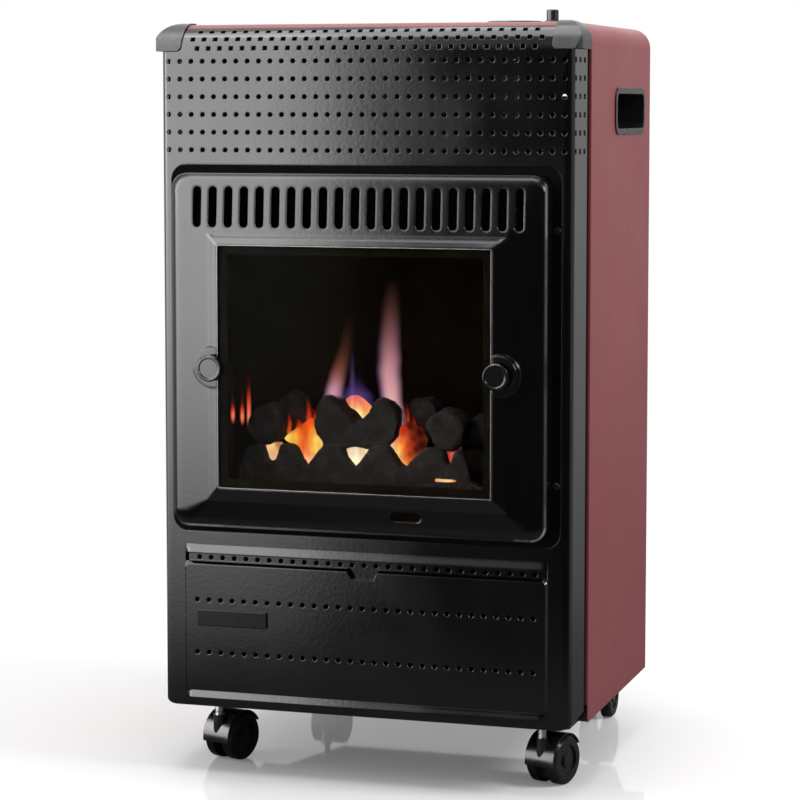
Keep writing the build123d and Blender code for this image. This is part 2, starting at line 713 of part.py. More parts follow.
with BuildPart() as gas_valve:
    with BuildSketch(Plane.XY.offset(valve_bottom)):
        with Locations((knob_well_x, back(knob_well_depth_back))):
            RectangleRounded(valve_width, valve_across, 4)
    extrude(amount=valve_top - valve_bottom)
    chamfer(gas_valve.faces().sort_by(Axis.Z)[-1].edges(), 2)
    with BuildSketch(Plane.XY.offset(valve_top)):
        with Locations((knob_well_x, back(knob_well_depth_back))):
            Circle(spindle_radius + gap)
    extrude(amount=-19, mode=Mode.SUBTRACT)
    with BuildSketch(Plane.XY.offset(valve_bottom)):
        with Locations((knob_well_x, back(pipe_drop_depth))):
            Circle(burner_pipe_radius + gap)
    extrude(amount=pipe_seat + gap, mode=Mode.SUBTRACT)
    with BuildSketch(Plane.YZ.offset(knob_well_x - valve_width / 2)):
        with Locations((back(pilot_run_depth), pilot_run_z)):
            Circle(pilot_pipe_radius + gap)
    extrude(amount=pipe_seat + gap, mode=Mode.SUBTRACT)
    with BuildSketch(Plane.XZ.offset(-back(valve_rear))):
        with Locations((knob_well_x, inlet_z)):
            Circle(inlet_radius + gap)
    extrude(amount=pipe_seat + gap, mode=Mode.SUBTRACT)
gas_valve.part.label = "gas_valve"
export_step(gas_valve.part, "parts/gas_valve.step")

with BuildPart() as inlet_nozzle:
    # tail that the gas hose of the bottle regulator is clamped on, with three gripping grooves
    with BuildSketch(Plane(origin=(knob_well_x, 0, inlet_z), x_dir=(0, 1, 0), z_dir=(1, 0, 0))):
        collar = back(valve_rear) + gap
        tail = back(valve_rear) + inlet_reach
        with BuildLine():
            Polyline(
                (back(valve_rear) - pipe_seat, 2),
                (back(valve_rear) - pipe_seat, inlet_radius),
                (collar, inlet_radius),
                (collar, 2 * inlet_radius),
                (collar + inlet_collar, 2 * inlet_radius),
                (collar + inlet_collar, inlet_radius),
                (tail - 1, inlet_radius),
                (tail, inlet_radius - 1),
                (tail, 2),
                close=True,
            )
        make_face()
        for groove_start in (18, 12, 6):
            with Locations((tail - groove_start, inlet_radius)):
                Rectangle(2, 1.2, mode=Mode.SUBTRACT)
    revolve(axis=Axis((knob_well_x, 0, inlet_z), (0, 1, 0)))
inlet_nozzle.part.label = "inlet_nozzle"
export_step(inlet_nozzle.part, "parts/inlet_nozzle.step")

stub_seat_z = hearth_z - burner_stub + pipe_seat

with BuildPart() as burner_pipe:
    with BuildLine() as run:
        FilletPolyline(
            (knob_well_x, back(pipe_drop_depth), valve_bottom + pipe_seat),
            (knob_well_x, back(pipe_drop_depth), pipe_run_z),
            (knob_well_x, back(burner_depth), pipe_run_z),
            (knob_well_x, back(burner_depth), stub_seat_z),
            radius=pipe_bend,
        )
    with BuildSketch(Plane(origin=run.line @ 0, z_dir=run.line % 0)):
        Circle(burner_pipe_radius)
    sweep()
burner_pipe.part.label = "burner_pipe"
export_step(burner_pipe.part, "parts/burner_pipe.step")

with BuildPart() as pilot_pipe:
    with BuildLine() as run:
        FilletPolyline(
            (knob_well_x - valve_width / 2 + pipe_seat, back(pilot_run_depth), pilot_run_z),
            (pilot_x, back(pilot_run_depth), pilot_run_z),
            (pilot_x, back(pilot_run_depth), pipe_run_z),
            (pilot_x, back(burner_depth), pipe_run_z),
            (pilot_x, back(burner_depth), hearth_z + pipe_seat),
            radius=pipe_bend,
        )
    with BuildSketch(Plane(origin=run.line @ 0, z_dir=run.line % 0)):
        Circle(pilot_pipe_radius)
    sweep()
pilot_pipe.part.label = "pilot_pipe"
export_step(pilot_pipe.part, "parts/pilot_pipe.step")


# ---------------------------------------------------------------- controls on the top
well_rim_radius = knob_well_radius + 3
well_rim_z = body_top + 3.0
well_floor_z = body_top - 21.5
well_wall = 1.5
control_knob_radius = 20.0
control_knob_bottom = body_top - 15
spindle_seat = 12.0
control_knob_top = well_rim_z - 1
washer_thickness = 1.5
button_radius = 5.9
button_top = body_top + 14.0
button_bottom = button_top - 33
button_travel = 8.0

with BuildPart() as knob_well:
    with BuildSketch(Plane.XY.offset(body_top + gap)):
        with Locations((knob_well_x, back(knob_well_depth_back))):
            Circle(well_rim_radius)
    extrude(amount=well_rim_z - body_top - gap)
    chamfer(knob_well.faces().sort_by(Axis.Z)[-1].edges(), 1)
    with BuildSketch(Plane.XY.offset(well_floor_z - well_wall)):
        with Locations((knob_well_x, back(knob_well_depth_back))):
            Circle(knob_well_radius)
    extrude(amount=body_top + 1 - well_floor_z + well_wall)
    with BuildSketch(Plane.XY.offset(well_floor_z)):
        with Locations((knob_well_x, back(knob_well_depth_back))):
            Circle(knob_well_radius - well_wall)
    extrude(amount=well_rim_z - well_floor_z, mode=Mode.SUBTRACT)
    with BuildSketch(Plane.XY.offset(well_floor_z)):
        with Locations((knob_well_x, back(knob_well_depth_back))):
            Circle(spindle_radius + gap)
    extrude(amount=-2 * well_wall, mode=Mode.SUBTRACT)
knob_well.part.label = "knob_well"
export_step(knob_well.part, "parts/knob_well.step")

with BuildPart() as knob_washer:
    with BuildSketch(Plane.XY.offset(control_knob_bottom - gap - washer_thickness)):
        with Locations((knob_well_x, back(knob_well_depth_back))):
            Circle(2.2 * spindle_radius)
            Circle(spindle_radius + gap, mode=Mode.SUBTRACT)
    extrude(amount=washer_thickness)
knob_washer.part.label = "knob_washer"
export_step(knob_washer.part, "parts/knob_washer.step")

with BuildPart() as control_knob:
    grip_low = control_knob_bottom + 7
    with BuildSketch(Plane.XY.offset(control_knob_bottom)):
        with Locations((knob_well_x, back(knob_well_depth_back))):
            Circle(control_knob_radius)
    extrude(amount=grip_low - control_knob_bottom)
    chamfer(control_knob.faces().sort_by(Axis.Z)[-1].edges(), 1.5)
    with BuildSketch(Plane.XY.offset(grip_low)):
        with Locations((knob_well_x, back(knob_well_depth_back))):
            SlotOverall(1.8 * control_knob_radius, 12, rotation=90)
    extrude(amount=control_knob_top - grip_low)
    chamfer(control_knob.faces().sort_by(Axis.Z)[-1].edges(), 1)
    with BuildSketch(Plane.XY.offset(control_knob_bottom)):
        with Locations((knob_well_x, back(knob_well_depth_back))):
            Circle(spindle_radius + gap)
    extrude(amount=spindle_seat + gap, mode=Mode.SUBTRACT)
control_knob.part.label = "control_knob"
export_step(control_knob.part, "parts/control_knob.step")

with BuildPart() as valve_spindle:
    with BuildSketch(Plane.XY.offset(control_knob_bottom + spindle_seat)):
        with Locations((knob_well_x, back(knob_well_depth_back))):
            Circle(spindle_radius)
    extrude(amount=-(control_knob_bottom + spindle_seat - valve_top + 14))
valve_spindle.part.label = "valve_spindle"
export_step(valve_spindle.part, "parts/valve_spindle.step")

with BuildPart() as igniter_body:
    igniter_radius = button_hole_radius - gap
    with BuildSketch(Plane.XY.offset(body_top - 45)):
        with Locations((button_x, back(knob_well_depth_back))):
            Circle(igniter_radius)
    extrude(amount=45 + gap)
    with BuildSketch(Plane.XY.offset(body_top + gap)):
        with Locations((button_x, back(knob_well_depth_back))):
            Circle(button_hole_radius + 1)
    extrude(amount=3)
    chamfer(igniter_body.faces().sort_by(Axis.Z)[-1].edges(), 0.8)
    with BuildSketch(Plane.XY.offset(body_top + 5)):
        with Locations((button_x, back(knob_well_depth_back))):
            Circle(button_radius + gap)
    extrude(amount=-(5 + body_top - button_bottom + button_travel + gap), mode=Mode.SUBTRACT)
igniter_body.part.label = "igniter_body"
export_step(igniter_body.part, "parts/igniter_body.step")

with BuildPart() as igniter_nut:
    with BuildSketch(Plane.XY.offset(body_top - sheet - gap)):
        with Locations((button_x, back(knob_well_depth_back))):
            RegularPolygon(igniter_radius + 3, 6)
            Circle(button_hole_radius, mode=Mode.SUBTRACT)
    extrude(amount=-3)
igniter_nut.part.label = "igniter_nut"
export_step(igniter_nut.part, "parts/igniter_nut.step")

with BuildPart() as igniter_button:
    with BuildSketch(Plane.XY.offset(button_bottom)):
        with Locations((button_x, back(knob_well_depth_back))):
            Circle(button_radius)
    extrude(amount=button_top - button_bottom)
    chamfer(igniter_button.faces().sort_by(Axis.Z)[-1].edges(), 1)
igniter_button.part.label = "igniter_button"
export_step(igniter_button.part, "parts/igniter_button.step")


# ---------------------------------------------------------------- hand grips and badge
grip_depth = 28.0
grip_wall = 1.8
grip_rim = 4.0
badge_width = 72.0
badge_height = 16.0
badge_x = -(draw_half_width - 15.0 - badge_width / 2)
badge_z = draw_bottom + 76.0


def side_handle(side, name):
    """Recessed hand grip: a moulded cup pushed into its hole in the side panel."""
    grip_place = (back((handle_front + handle_rear) / 2), (handle_bottom + handle_top) / 2)
    grip_length = handle_rear - handle_front
    grip_height = handle_top - handle_bottom
    with BuildPart() as handle:
        with BuildSketch(Plane.YZ.offset(side * (half_body + gap))):
            with Locations(grip_place):
                RectangleRounded(
                    grip_length + 2 * grip_rim, grip_height + 2 * grip_rim, handle_radius + grip_rim
                )
        extrude(amount=side * sheet)
        with BuildSketch(Plane.YZ.offset(side * (half_body + gap))):
            with Locations(grip_place):
                RectangleRounded(
                    grip_length - 2 * gap, grip_height - 2 * gap, handle_radius - gap
                )
        extrude(amount=-side * grip_depth)
        with BuildSketch(Plane.YZ.offset(side * (half_body + gap + sheet))):
            with Locations(grip_place):
                RectangleRounded(
                    grip_length - 2 * grip_wall,
                    grip_height - 2 * grip_wall,
                    handle_radius - grip_wall,
                )
        extrude(amount=-side * (grip_depth + sheet - grip_wall), mode=Mode.SUBTRACT)
    handle.part.label = name
    export_step(handle.part, f"parts/{name}.step")


side_handle(-1, "side_handle_left")
side_handle(1, "side_handle_right")

with BuildPart() as badge_plate:
    with BuildSketch(Plane.XZ.offset(-back(-draw_proud - gap))):
        with Locations((badge_x, badge_z)):
            RectangleRounded(badge_width, badge_height, 1.5)
    extrude(amount=2)
    chamfer(badge_plate.faces().sort_by(Axis.Y)[0].edges(), 0.6)
badge_plate.part.label = "badge_plate"
export_step(badge_plate.part, "parts/badge_plate.step")


# ---------------------------------------------------------------- base, shield and rear
base_bottom = body_bottom + 0.5
base_flange_top = body_bottom + tray_relief - 3
tray_half = half_body - sheet - gap
tray_front_half = half_front - sheet - gap
cover_front = side_depth + gap
cover_root_half = half_body - 21.0
cover_back_half = cover_root_half - 34.0
cover_flange_half = half_body - 4.0
cover_bottom = body_bottom + 3.0
cover_top = body_top - 135.0
cover_hood_z = cover_top - 40.0
shield_depth = 118.0
shield_return = 12.0  # edges of the shield folded towards the bottle
shield_top = cover_top
platform_radius = 118.0  # raised platform that the gas bottle stands on
platform_top = base_flange_top + 1.0
platform_depth = (shield_depth + shield_return + cover_depth) / 2
platform_slope = 30.0
caster_front_x = half_body - 46.0
caster_front_depth = 47.0
caster_rear_x = cover_back_half - 6.0
caster_rear_depth = cover_depth - 75.0
stem_radius = 4.0
caster_places = {
    "front_left": (-caster_front_x, caster_front_depth, 18.9),
    "front_right": (caster_front_x, caster_front_depth, 17.6),
    "rear_left": (-caster_rear_x, caster_rear_depth, 0.0),
    "rear_right": (caster_rear_x, caster_rear_depth, 0.0),
}

with BuildPart() as base_plate:
    with BuildSketch(Plane.XY.offset(base_bottom)) as tray:
        with BuildLine() as tray_half_line:
            Polyline(
                (0, back(sheet + gap)),
                (tray_front_half - front_edge_radius, back(sheet + gap)),
                (tray_front_half, back(front_edge_radius)),
                (tray_front_half, back(front_depth + gap)),
                (tray_half, back(front_depth + gap)),
                (tray_half, back(side_depth)),
                (cover_root_half - 3, back(side_depth)),
                (cover_back_half - 3, back(cover_depth - 3)),
                (0, back(cover_depth - 3)),
            )
            mirror(about=Plane.YZ)
        make_face()
    extrude(amount=base_flange_top - base_bottom)
    with BuildSketch(Plane.XY.offset(base_bottom + sheet)):
        offset(tray.sketch, -sheet, kind=Kind.INTERSECTION)
    extrude(amount=base_flange_top, mode=Mode.SUBTRACT)
    # the platform is pressed up out of the sheet
    platform_height = platform_top - base_bottom
    with BuildSketch(Plane.XY.offset(base_bottom)):
        with Locations((0, back(platform_depth))):
            Circle(platform_radius)
    extrude(amount=platform_height, taper=platform_slope)
    with BuildSketch(Plane.XY.offset(base_bottom)):
        with Locations((0, back(platform_depth))):
            Circle(platform_radius - sheet)
    extrude(amount=platform_height - sheet, taper=platform_slope, mode=Mode.SUBTRACT)
    with BuildSketch(Plane.XY.offset(base_bottom)):
        for x, depth, heading in caster_places.values():
            with Locations((x, back(depth))):
                Circle(stem_radius + gap)
    extrude(amount=sheet, mode=Mode.SUBTRACT)
base_plate.part.label = "base_plate"
export_step(base_plate.part, "parts/base_plate.step")

shield_half = tray_half - sheet - gap
rear_panel_depth = side_depth - 2 * sheet - gap
vent_length = 60.0
vent_height = 12.0
cover_vent_height = 7.0
vent_pitch = 75.0
vent_row_pitch = 20.0
vent_columns = int((2 * cover_back_half - vent_length) / vent_pitch) + 1

with BuildPart() as heat_shield:
    with BuildSketch(Plane.XY.offset(base_bottom + sheet + gap)):
        with Locations((0, back(shield_depth + shield_return / 2))):
            Rectangle(2 * shield_half, shield_return)
        with Locations((0, back(shield_depth + sheet + shield_return / 2))):
            Rectangle(2 * (shield_half - sheet), shield_return, mode=Mode.SUBTRACT)
    extrude(amount=shield_top - base_bottom)
heat_shield.part.label = "heat_shield"
export_step(heat_shield.part, "parts/heat_shield.step")

with BuildPart() as rear_top_panel:
    with BuildSketch(Plane.XZ.offset(-back(rear_panel_depth))):
        panel_top = body_top - sheet - 2 * gap
        with Locations((0, (panel_top + cover_top - 2) / 2)):
            Rectangle(2 * (tray_half - gap), panel_top - cover_top + 2)
        fillet(vertices().group_by(Axis.Y)[-1], side_bend_radius - sheet)
        # four rows of vents; the gas hose passes straight through one of the third row
        with Locations((0, inlet_z - vent_row_pitch / 2)):
            with GridLocations(vent_pitch, vent_row_pitch, vent_columns, 4):
                Rectangle(vent_length, vent_height, mode=Mode.SUBTRACT)
        with Locations(*rear_screw_places):
            Circle(screw_radius + gap, mode=Mode.SUBTRACT)
    extrude(amount=-sheet)
rear_top_panel.part.label = "rear_top_panel"
export_step(rear_top_panel.part, "parts/rear_top_panel.step")


def cover_volume(inset, low):
    """Volume behind the outside of the bulged rear cover, less inset."""
    with BuildPart() as volume:
        with BuildSketch(Plane.XY.offset(low)):
            with BuildLine():
                Polyline(
                    (-cover_root_half + inset, back(cover_front - inset)),
                    (cover_root_half - inset, back(cover_front - inset)),
                    (cover_back_half - inset, back(cover_depth - inset)),
                    (-cover_back_half + inset, back(cover_depth - inset)),
                    close=True,
                )
            make_face()
        extrude(amount=cover_top - low)
        with BuildSketch(Plane.YZ):
            with BuildLine():
                Polyline(
                    (back(cover_front - inset), low),
                    (back(cover_depth - inset), low),
                    (back(cover_depth - inset), cover_hood_z - inset),
                    (back(cover_front - inset), cover_top - inset),
                    close=True,
                )
            make_face()
        extrude(amount=body_width, both=True, mode=Mode.INTERSECT)
    return volume.part


with BuildPart() as rear_cover:
    add(cover_volume(0, cover_bottom))
    with BuildSketch(Plane.XZ.offset(-back(cover_front))):
        with Locations((0, (cover_bottom + cover_top + 12) / 2)):
            Rectangle(2 * cover_flange_half, cover_top + 12 - cover_bottom)
    extrude(amount=-sheet)
    add(cover_volume(sheet, cover_bottom - 1), mode=Mode.SUBTRACT)
    with BuildSketch(Plane.XZ.offset(-back(cover_depth + 1))):
        for low_row in (cover_bottom + 70, cover_hood_z - 110):
            with Locations((0, low_row)):
                with GridLocations(vent_pitch, vent_row_pitch, vent_columns, 3):
                    Rectangle(vent_length, cover_vent_height)
    extrude(amount=1 + 2 * sheet, mode=Mode.SUBTRACT)
rear_cover.part.label = "rear_cover"
export_step(rear_cover.part, "parts/rear_cover.step")


def screw_group(places, head_depth, outward, name):
    """Pan-head screws along Y at the given places, their heads outward (-1 front, 1 rear)."""
    with BuildPart() as screws:
        with BuildSketch(Plane.XZ.offset(-back(head_depth))):
            with Locations(*places):
                Circle(screw_head_radius)
        extrude(amount=-outward * screw_head_height)
        chamfer(screws.faces().sort_by(Axis.Y)[-1 if outward > 0 else 0].edges(), 0.6)
        with BuildSketch(Plane.XZ.offset(-back(head_depth))):
            with Locations(*places):
                Circle(screw_radius)
        extrude(amount=outward * 8)
    screws.part.label = name
    export_step(screws.part, f"parts/{name}.step")


screw_group(rear_screw_places, side_depth + gap, 1, "rear_screws")
screw_group(surround_screw_places, sheet, -1, "front_screws")


# ---------------------------------------------------------------- casters
wheel_radius = 24.0
wheel_width = 11.0
wheel_inner_x = 6.2  # inner face of each wheel from the middle of its caster
axle_trail = 20.0  # axle behind the stem
axle_radius = 3.0
hood_inner_radius = 25.0
hood_thickness = 1.5
hood_half_width = 16.0
hood_web_half = 5.3
hood_front_angle = 8.0  # the fender's nose ends just above the height of the axle
hood_rear_angle = 150.0
boss_radius = 5.9
boss_low = 30.0
boss_top = 48.0
stem_low = 34.0
stem_flange_top = base_bottom - gap
stem_top = base_bottom + sheet + 4


def caster(name, x, depth, heading):
    """Twin-wheel caster: stem in the base, swivelling hood, axle and two free wheels."""
    stem_place = Plane(
        origin=(x, back(depth), 0),
        x_dir=(cos(radians(heading)), -sin(radians(heading)), 0),
        z_dir=(0, 0, 1),
    )
    # local frame of the swivelling pieces: x along the axle, y away from the stem
    side_plane = Plane(
        origin=stem_place.from_local_coords((0, 0, 0)),
        x_dir=stem_place.y_dir,
        z_dir=stem_place.x_dir,
    )
    axle_at = (axle_trail, wheel_radius)

    with BuildPart() as stem:
        with BuildSketch(stem_place.offset(stem_low)):
            Circle(stem_radius)
        extrude(amount=stem_top - stem_low)
        with BuildSketch(stem_place.offset(stem_flange_top)):
            Circle(3.2 * stem_radius)
        extrude(amount=-2.5)
    stem.part.label = f"caster_{name}_stem"
    export_step(stem.part, f"parts/caster_{name}_stem.step")

    with BuildPart() as hood:
        with BuildSketch(side_plane.offset(-hood_half_width)):
            with Locations(axle_at):
                Circle(hood_inner_radius + hood_thickness)
        extrude(amount=2 * hood_half_width)
        with BuildSketch(side_plane.offset(-hood_half_width - 1)):
            with Locations(axle_at):
                Circle(hood_inner_radius)
        extrude(amount=hood_half_width + 1 - hood_web_half, mode=Mode.SUBTRACT)
        with BuildSketch(side_plane.offset(hood_web_half)):
            with Locations(axle_at):
                Circle(hood_inner_radius)
        extrude(amount=hood_half_width + 1 - hood_web_half, mode=Mode.SUBTRACT)
        # the fender covers the top and both ends; below it everything is cut away
        with BuildSketch(side_plane.offset(-hood_half_width - 1)):
            reach = 2 * hood_inner_radius
            with BuildLine():
                Polyline(
                    axle_at,
                    (
                        axle_at[0] - reach * cos(radians(hood_front_angle)),
                        axle_at[1] - reach * sin(radians(hood_front_angle)),
                    ),
                    (axle_at[0] - reach, -reach),
                    (axle_at[0] + reach, -reach),
                    (
                        axle_at[0] - reach * cos(radians(hood_rear_angle)),
                        axle_at[1] + reach * sin(radians(hood_rear_angle)),
                    ),
                    close=True,
                )
            make_face()
            with Locations(axle_at):
                Circle(3 * axle_radius, mode=Mode.SUBTRACT)
        extrude(amount=2 * hood_half_width + 2, mode=Mode.SUBTRACT)
        with BuildSketch(stem_place.offset(boss_low)):
            Circle(boss_radius)
        extrude(amount=boss_top - boss_low)
        with BuildSketch(stem_place.offset(boss_low)):
            Circle(stem_radius + gap)
        extrude(amount=boss_top - boss_low, mode=Mode.SUBTRACT)
        with BuildSketch(side_plane.offset(-hood_half_width)):
            with Locations(axle_at):
                Circle(axle_radius + gap)
        extrude(amount=2 * hood_half_width, mode=Mode.SUBTRACT)
    hood.part.label = f"caster_{name}_hood"
    export_step(hood.part, f"parts/caster_{name}_hood.step")

    with BuildPart() as axle:
        axle_half = wheel_inner_x + wheel_width - 1
        with BuildSketch(side_plane.offset(-axle_half)):
            with Locations(axle_at):
                Circle(axle_radius)
        extrude(amount=2 * axle_half)
    axle.part.label = f"caster_{name}_axle"
    export_step(axle.part, f"parts/caster_{name}_axle.step")

    for wheel_side, wheel_name in ((-1, "left"), (1, "right")):
        with BuildPart() as wheel:
            with BuildSketch(side_plane.offset(wheel_side * wheel_inner_x)):
                with Locations(axle_at):
                    Circle(wheel_radius)
            extrude(amount=wheel_side * wheel_width)
            outer_face = wheel.faces().filter_by(GeomType.PLANE).sort_by(
                lambda face: wheel_side * side_plane.to_local_coords(face.center()).Z
            )[-1]
            chamfer(outer_face.edges(), 2.5)
            with BuildSketch(side_plane.offset(wheel_side * (wheel_inner_x + wheel_width))):
                with Locations(axle_at):
                    Circle(0.62 * wheel_radius)
                    Circle(0.3 * wheel_radius, mode=Mode.SUBTRACT)
            extrude(amount=-wheel_side * 2, mode=Mode.SUBTRACT)
            with BuildSketch(side_plane.offset(wheel_side * (wheel_inner_x - 1))):
                with Locations(axle_at):
                    Circle(axle_radius + gap)
            extrude(amount=wheel_side * wheel_width, mode=Mode.SUBTRACT)
        wheel.part.label = f"caster_{name}_wheel_{wheel_name}"
        export_step(wheel.part, f"parts/caster_{name}_wheel_{wheel_name}.step")


for caster_name, (x, depth, heading) in caster_places.items():
    caster(caster_name, x, depth, heading)
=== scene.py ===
"""Looks of the portable gas cabinet heater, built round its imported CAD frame.

The scene is in metres, +Z up, and the fire faces -Y.  The fire and the trim are laid out in
millimetres: across, back from the flat front panel, and up.
"""

import math
import random

import bmesh
import bpy
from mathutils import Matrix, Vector, noise


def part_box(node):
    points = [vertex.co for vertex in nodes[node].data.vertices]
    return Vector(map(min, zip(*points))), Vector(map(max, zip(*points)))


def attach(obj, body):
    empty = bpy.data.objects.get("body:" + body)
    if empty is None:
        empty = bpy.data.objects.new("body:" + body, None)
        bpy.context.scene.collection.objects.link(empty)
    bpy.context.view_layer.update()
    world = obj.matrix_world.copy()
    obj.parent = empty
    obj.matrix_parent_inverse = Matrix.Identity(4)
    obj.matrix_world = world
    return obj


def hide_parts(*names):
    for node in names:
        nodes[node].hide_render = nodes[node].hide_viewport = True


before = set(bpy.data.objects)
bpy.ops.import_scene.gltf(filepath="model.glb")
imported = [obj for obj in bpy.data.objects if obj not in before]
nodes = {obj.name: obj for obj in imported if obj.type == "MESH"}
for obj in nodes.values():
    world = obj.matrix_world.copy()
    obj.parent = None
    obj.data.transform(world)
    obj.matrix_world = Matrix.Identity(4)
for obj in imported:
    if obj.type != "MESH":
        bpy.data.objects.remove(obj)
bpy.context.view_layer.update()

# ---------------------------------------------------------------- places from the frame
FOLD_DEPTH = 0.0427  # the front panel's folded sides reach this far behind its flat face

rail_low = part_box("fire_rail")[0]
burner_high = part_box("burner")[1]
front_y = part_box("front_panel")[1].y - FOLD_DEPTH
body_name = "heater_body"


# ---------------------------------------------------------------- material helpers
NOISE_LOW, NOISE_HIGH = 0.3, 0.7  # nearly all of a noise texture's values lie between these


class Shader:
    """A material's node tree, with short calls for the nodes that the materials share."""

    def __init__(self, name):
        self.material = bpy.data.materials.new(name)
        self.material.use_nodes = True
        self.tree = self.material.node_tree
        self.principled = self.tree.nodes["Principled BSDF"]
        self.output = self.tree.nodes["Material Output"]
        self.coords = self.add("ShaderNodeTexCoord").outputs["Object"]

    def add(self, kind, **settings):
        node = self.tree.nodes.new(kind)
        for key, value in settings.items():
            setattr(node, key, value)
        return node

    def link(self, source, target):
        self.tree.links.new(source, target)

    def stretched(self, scale):
        """Object coordinates scaled unequally, for brushed or streaky grain."""
        mapping = self.add("ShaderNodeMapping")
        mapping.inputs["Scale"].default_value = scale
        self.link(self.coords, mapping.inputs["Vector"])
        return mapping.outputs["Vector"]

    def noise(self, scale, detail=3.0, vector=None):
        node = self.add("ShaderNodeTexNoise")
        node.inputs["Scale"].default_value = scale
        node.inputs["Detail"].default_value = detail
        self.link(vector or self.coords, node.inputs["Vector"])
        return node.outputs["Fac"]

    def cells(self, scale):
        node = self.add("ShaderNodeTexVoronoi")
        node.inputs["Scale"].default_value = scale
        self.link(self.coords, node.inputs["Vector"])
        return node.outputs["Distance"]

    def ramp(self, source, stops):
        """Colour ramp from (position, colour) stops."""
        node = self.add("ShaderNodeValToRGB")
        elements = node.color_ramp.elements
        while len(elements) < len(stops):
            elements.new(0.5)
        for element, (position, color) in zip(elements, stops):
            element.position = position
            element.color = (*color, 1.0)
        self.link(source, node.inputs["Fac"])
        return node.outputs["Color"]

    def spread(self, source, low, high):
        """A noise texture's values spread over the range low to high."""
        node = self.add("ShaderNodeMapRange")
        node.inputs["From Min"].default_value = NOISE_LOW
        node.inputs["From Max"].default_value = NOISE_HIGH
        node.inputs["To Min"].default_value = low
        node.inputs["To Max"].default_value = high
        self.link(source, node.inputs["Value"])
        return node.outputs["Result"]

    def relief(self, layers, edge=0.0):
        """Bump from (height, strength, distance) layers, over edges softened by a bevel."""
        normal = None
        if edge:
            bevel = self.add("ShaderNodeBevel", samples=4)
            bevel.inputs["Radius"].default_value = edge
            normal = bevel.outputs["Normal"]
        for height, strength, distance in layers:
            bump = self.add("ShaderNodeBump")
            bump.inputs["Strength"].default_value = strength
            bump.inputs["Distance"].default_value = distance
            self.link(height, bump.inputs["Height"])
            if normal is not None:
                self.link(normal, bump.inputs["Normal"])
            normal = bump.outputs["Normal"]
        self.link(normal, self.principled.inputs["Normal"])

    def set(self, **values):
        """Sets inputs of the main shader, with _ for each space in their names."""
        for key, value in values.items():
            self.principled.inputs[key.replace("_", " ")].default_value = value


def dress(material, *names):
    """Gives CAD nodes their material."""
    for name in names:
        node = nodes[name]
        node.data.materials.clear()
        node.data.materials.append(material)


def shade(dark, light):
    """Ramp stops that spread a noise texture from one colour to another."""
    return [(NOISE_LOW, dark), (NOISE_HIGH, light)]


# ---------------------------------------------------------------- materials
def enamel(name, dark, light, low_rough, high_rough, peel, edge):
    """Stoved enamel: a hard gloss skin with orange peel and faint handling haze."""
    s = Shader(name)
    s.link(s.ramp(s.noise(6.0), shade(dark, light)), s.principled.inputs["Base Color"])
    s.link(s.spread(s.noise(14.0, 5.0), low_rough, high_rough), s.principled.inputs["Roughness"])
    s.relief([(s.noise(260.0, 2.0), peel, 0.0004)], edge=edge)
    return s.material


def plastic(name, dark, light, low_rough, high_rough, grain, specular=0.5):
    """Moulded plastic: fine spark-eroded grain and slight tone changes."""
    s = Shader(name)
    s.link(s.ramp(s.noise(40.0), shade(dark, light)), s.principled.inputs["Base Color"])
    s.link(s.spread(s.noise(60.0, 4.0), low_rough, high_rough), s.principled.inputs["Roughness"])
    s.relief([(s.noise(1800.0, 2.0), grain, 0.0002)], edge=0.0006)
    s.set(Specular_IOR_Level=specular)
    return s.material


def matt(name, dark, light, grain):
    """Dull black without a mirror: soot, painted shade, gasket tape, rubber."""
    return plastic(name, dark, light, 0.85, 0.95, grain, specular=0.08)


def metal(name, dark, light, low_rough, high_rough, grain_scale):
    """Rolled or drawn metal with a directional grain."""
    s = Shader(name)
    grain = s.noise(1.0, 4.0, s.stretched(grain_scale))
    s.link(s.ramp(grain, shade(dark, light)), s.principled.inputs["Base Color"])
    s.link(s.spread(grain, low_rough, high_rough), s.principled.inputs["Roughness"])
    s.relief([(grain, 0.15, 0.0002)], edge=0.0004)
    s.set(Metallic=1.0)
    return s.material


ENAMEL_BLACK = ((0.0018, 0.0018, 0.0019), (0.003, 0.003, 0.0032))
# dark and light colour, low and high roughness, and then an enamel's peel and edge radius,
# a plastic's grain and specular level, or the stretch of a metal's grain
black_enamel = enamel("black_enamel", *ENAMEL_BLACK, 0.08, 0.13, 0.05, 0.0012)
surround_enamel = enamel("surround_enamel", *ENAMEL_BLACK, 0.08, 0.13, 0.05, 0.0028)
burgundy_enamel = enamel(
    "burgundy_enamel", (0.214, 0.036, 0.043), (0.238, 0.043, 0.051), 0.36, 0.44, 0.1, 0.0012
)
cap_plastic = plastic(
    "cap_plastic", (0.011, 0.011, 0.0115), (0.015, 0.015, 0.0155), 0.24, 0.34, 0.14
)
black_plastic = plastic(
    "black_plastic", (0.008, 0.008, 0.008), (0.012, 0.012, 0.012), 0.22, 0.34, 0.1
)
badge_black = plastic(
    "badge_black", (0.0025, 0.0025, 0.0027), (0.004, 0.004, 0.0043), 0.16, 0.24, 0.05, 0.2
)
nylon = plastic("nylon", (0.007, 0.007, 0.008), (0.012, 0.012, 0.013), 0.16, 0.28, 0.12)
# soot on the firebox; on the heat shield this near-black is painted shade for the dark space
# behind the louvres, over a lighter galvanised sheet
soot_and_shade_steel = matt("soot_and_shade_steel", (0.009, 0.0058, 0.0022), (0.016, 0.0105, 0.0042), 0.05)
# matt near-black: the hose grommet's rubber, and painted shade in the groove round the surround
rubber_and_shade_black = matt("rubber_and_shade_black", (0.0015, 0.0015, 0.0016), (0.0035, 0.0033, 0.003), 0.3)
seal_brown = matt("seal_brown", (0.006, 0.0045, 0.0025), (0.014, 0.01, 0.005), 0.4)
zinc = metal("zinc", (0.45, 0.45, 0.47), (0.62, 0.62, 0.63), 0.25, 0.4, (60, 60, 900))
burnt_steel = metal(
    "burnt_steel", (0.05, 0.04, 0.035), (0.16, 0.13, 0.11), 0.4, 0.6, (300, 300, 80)
)
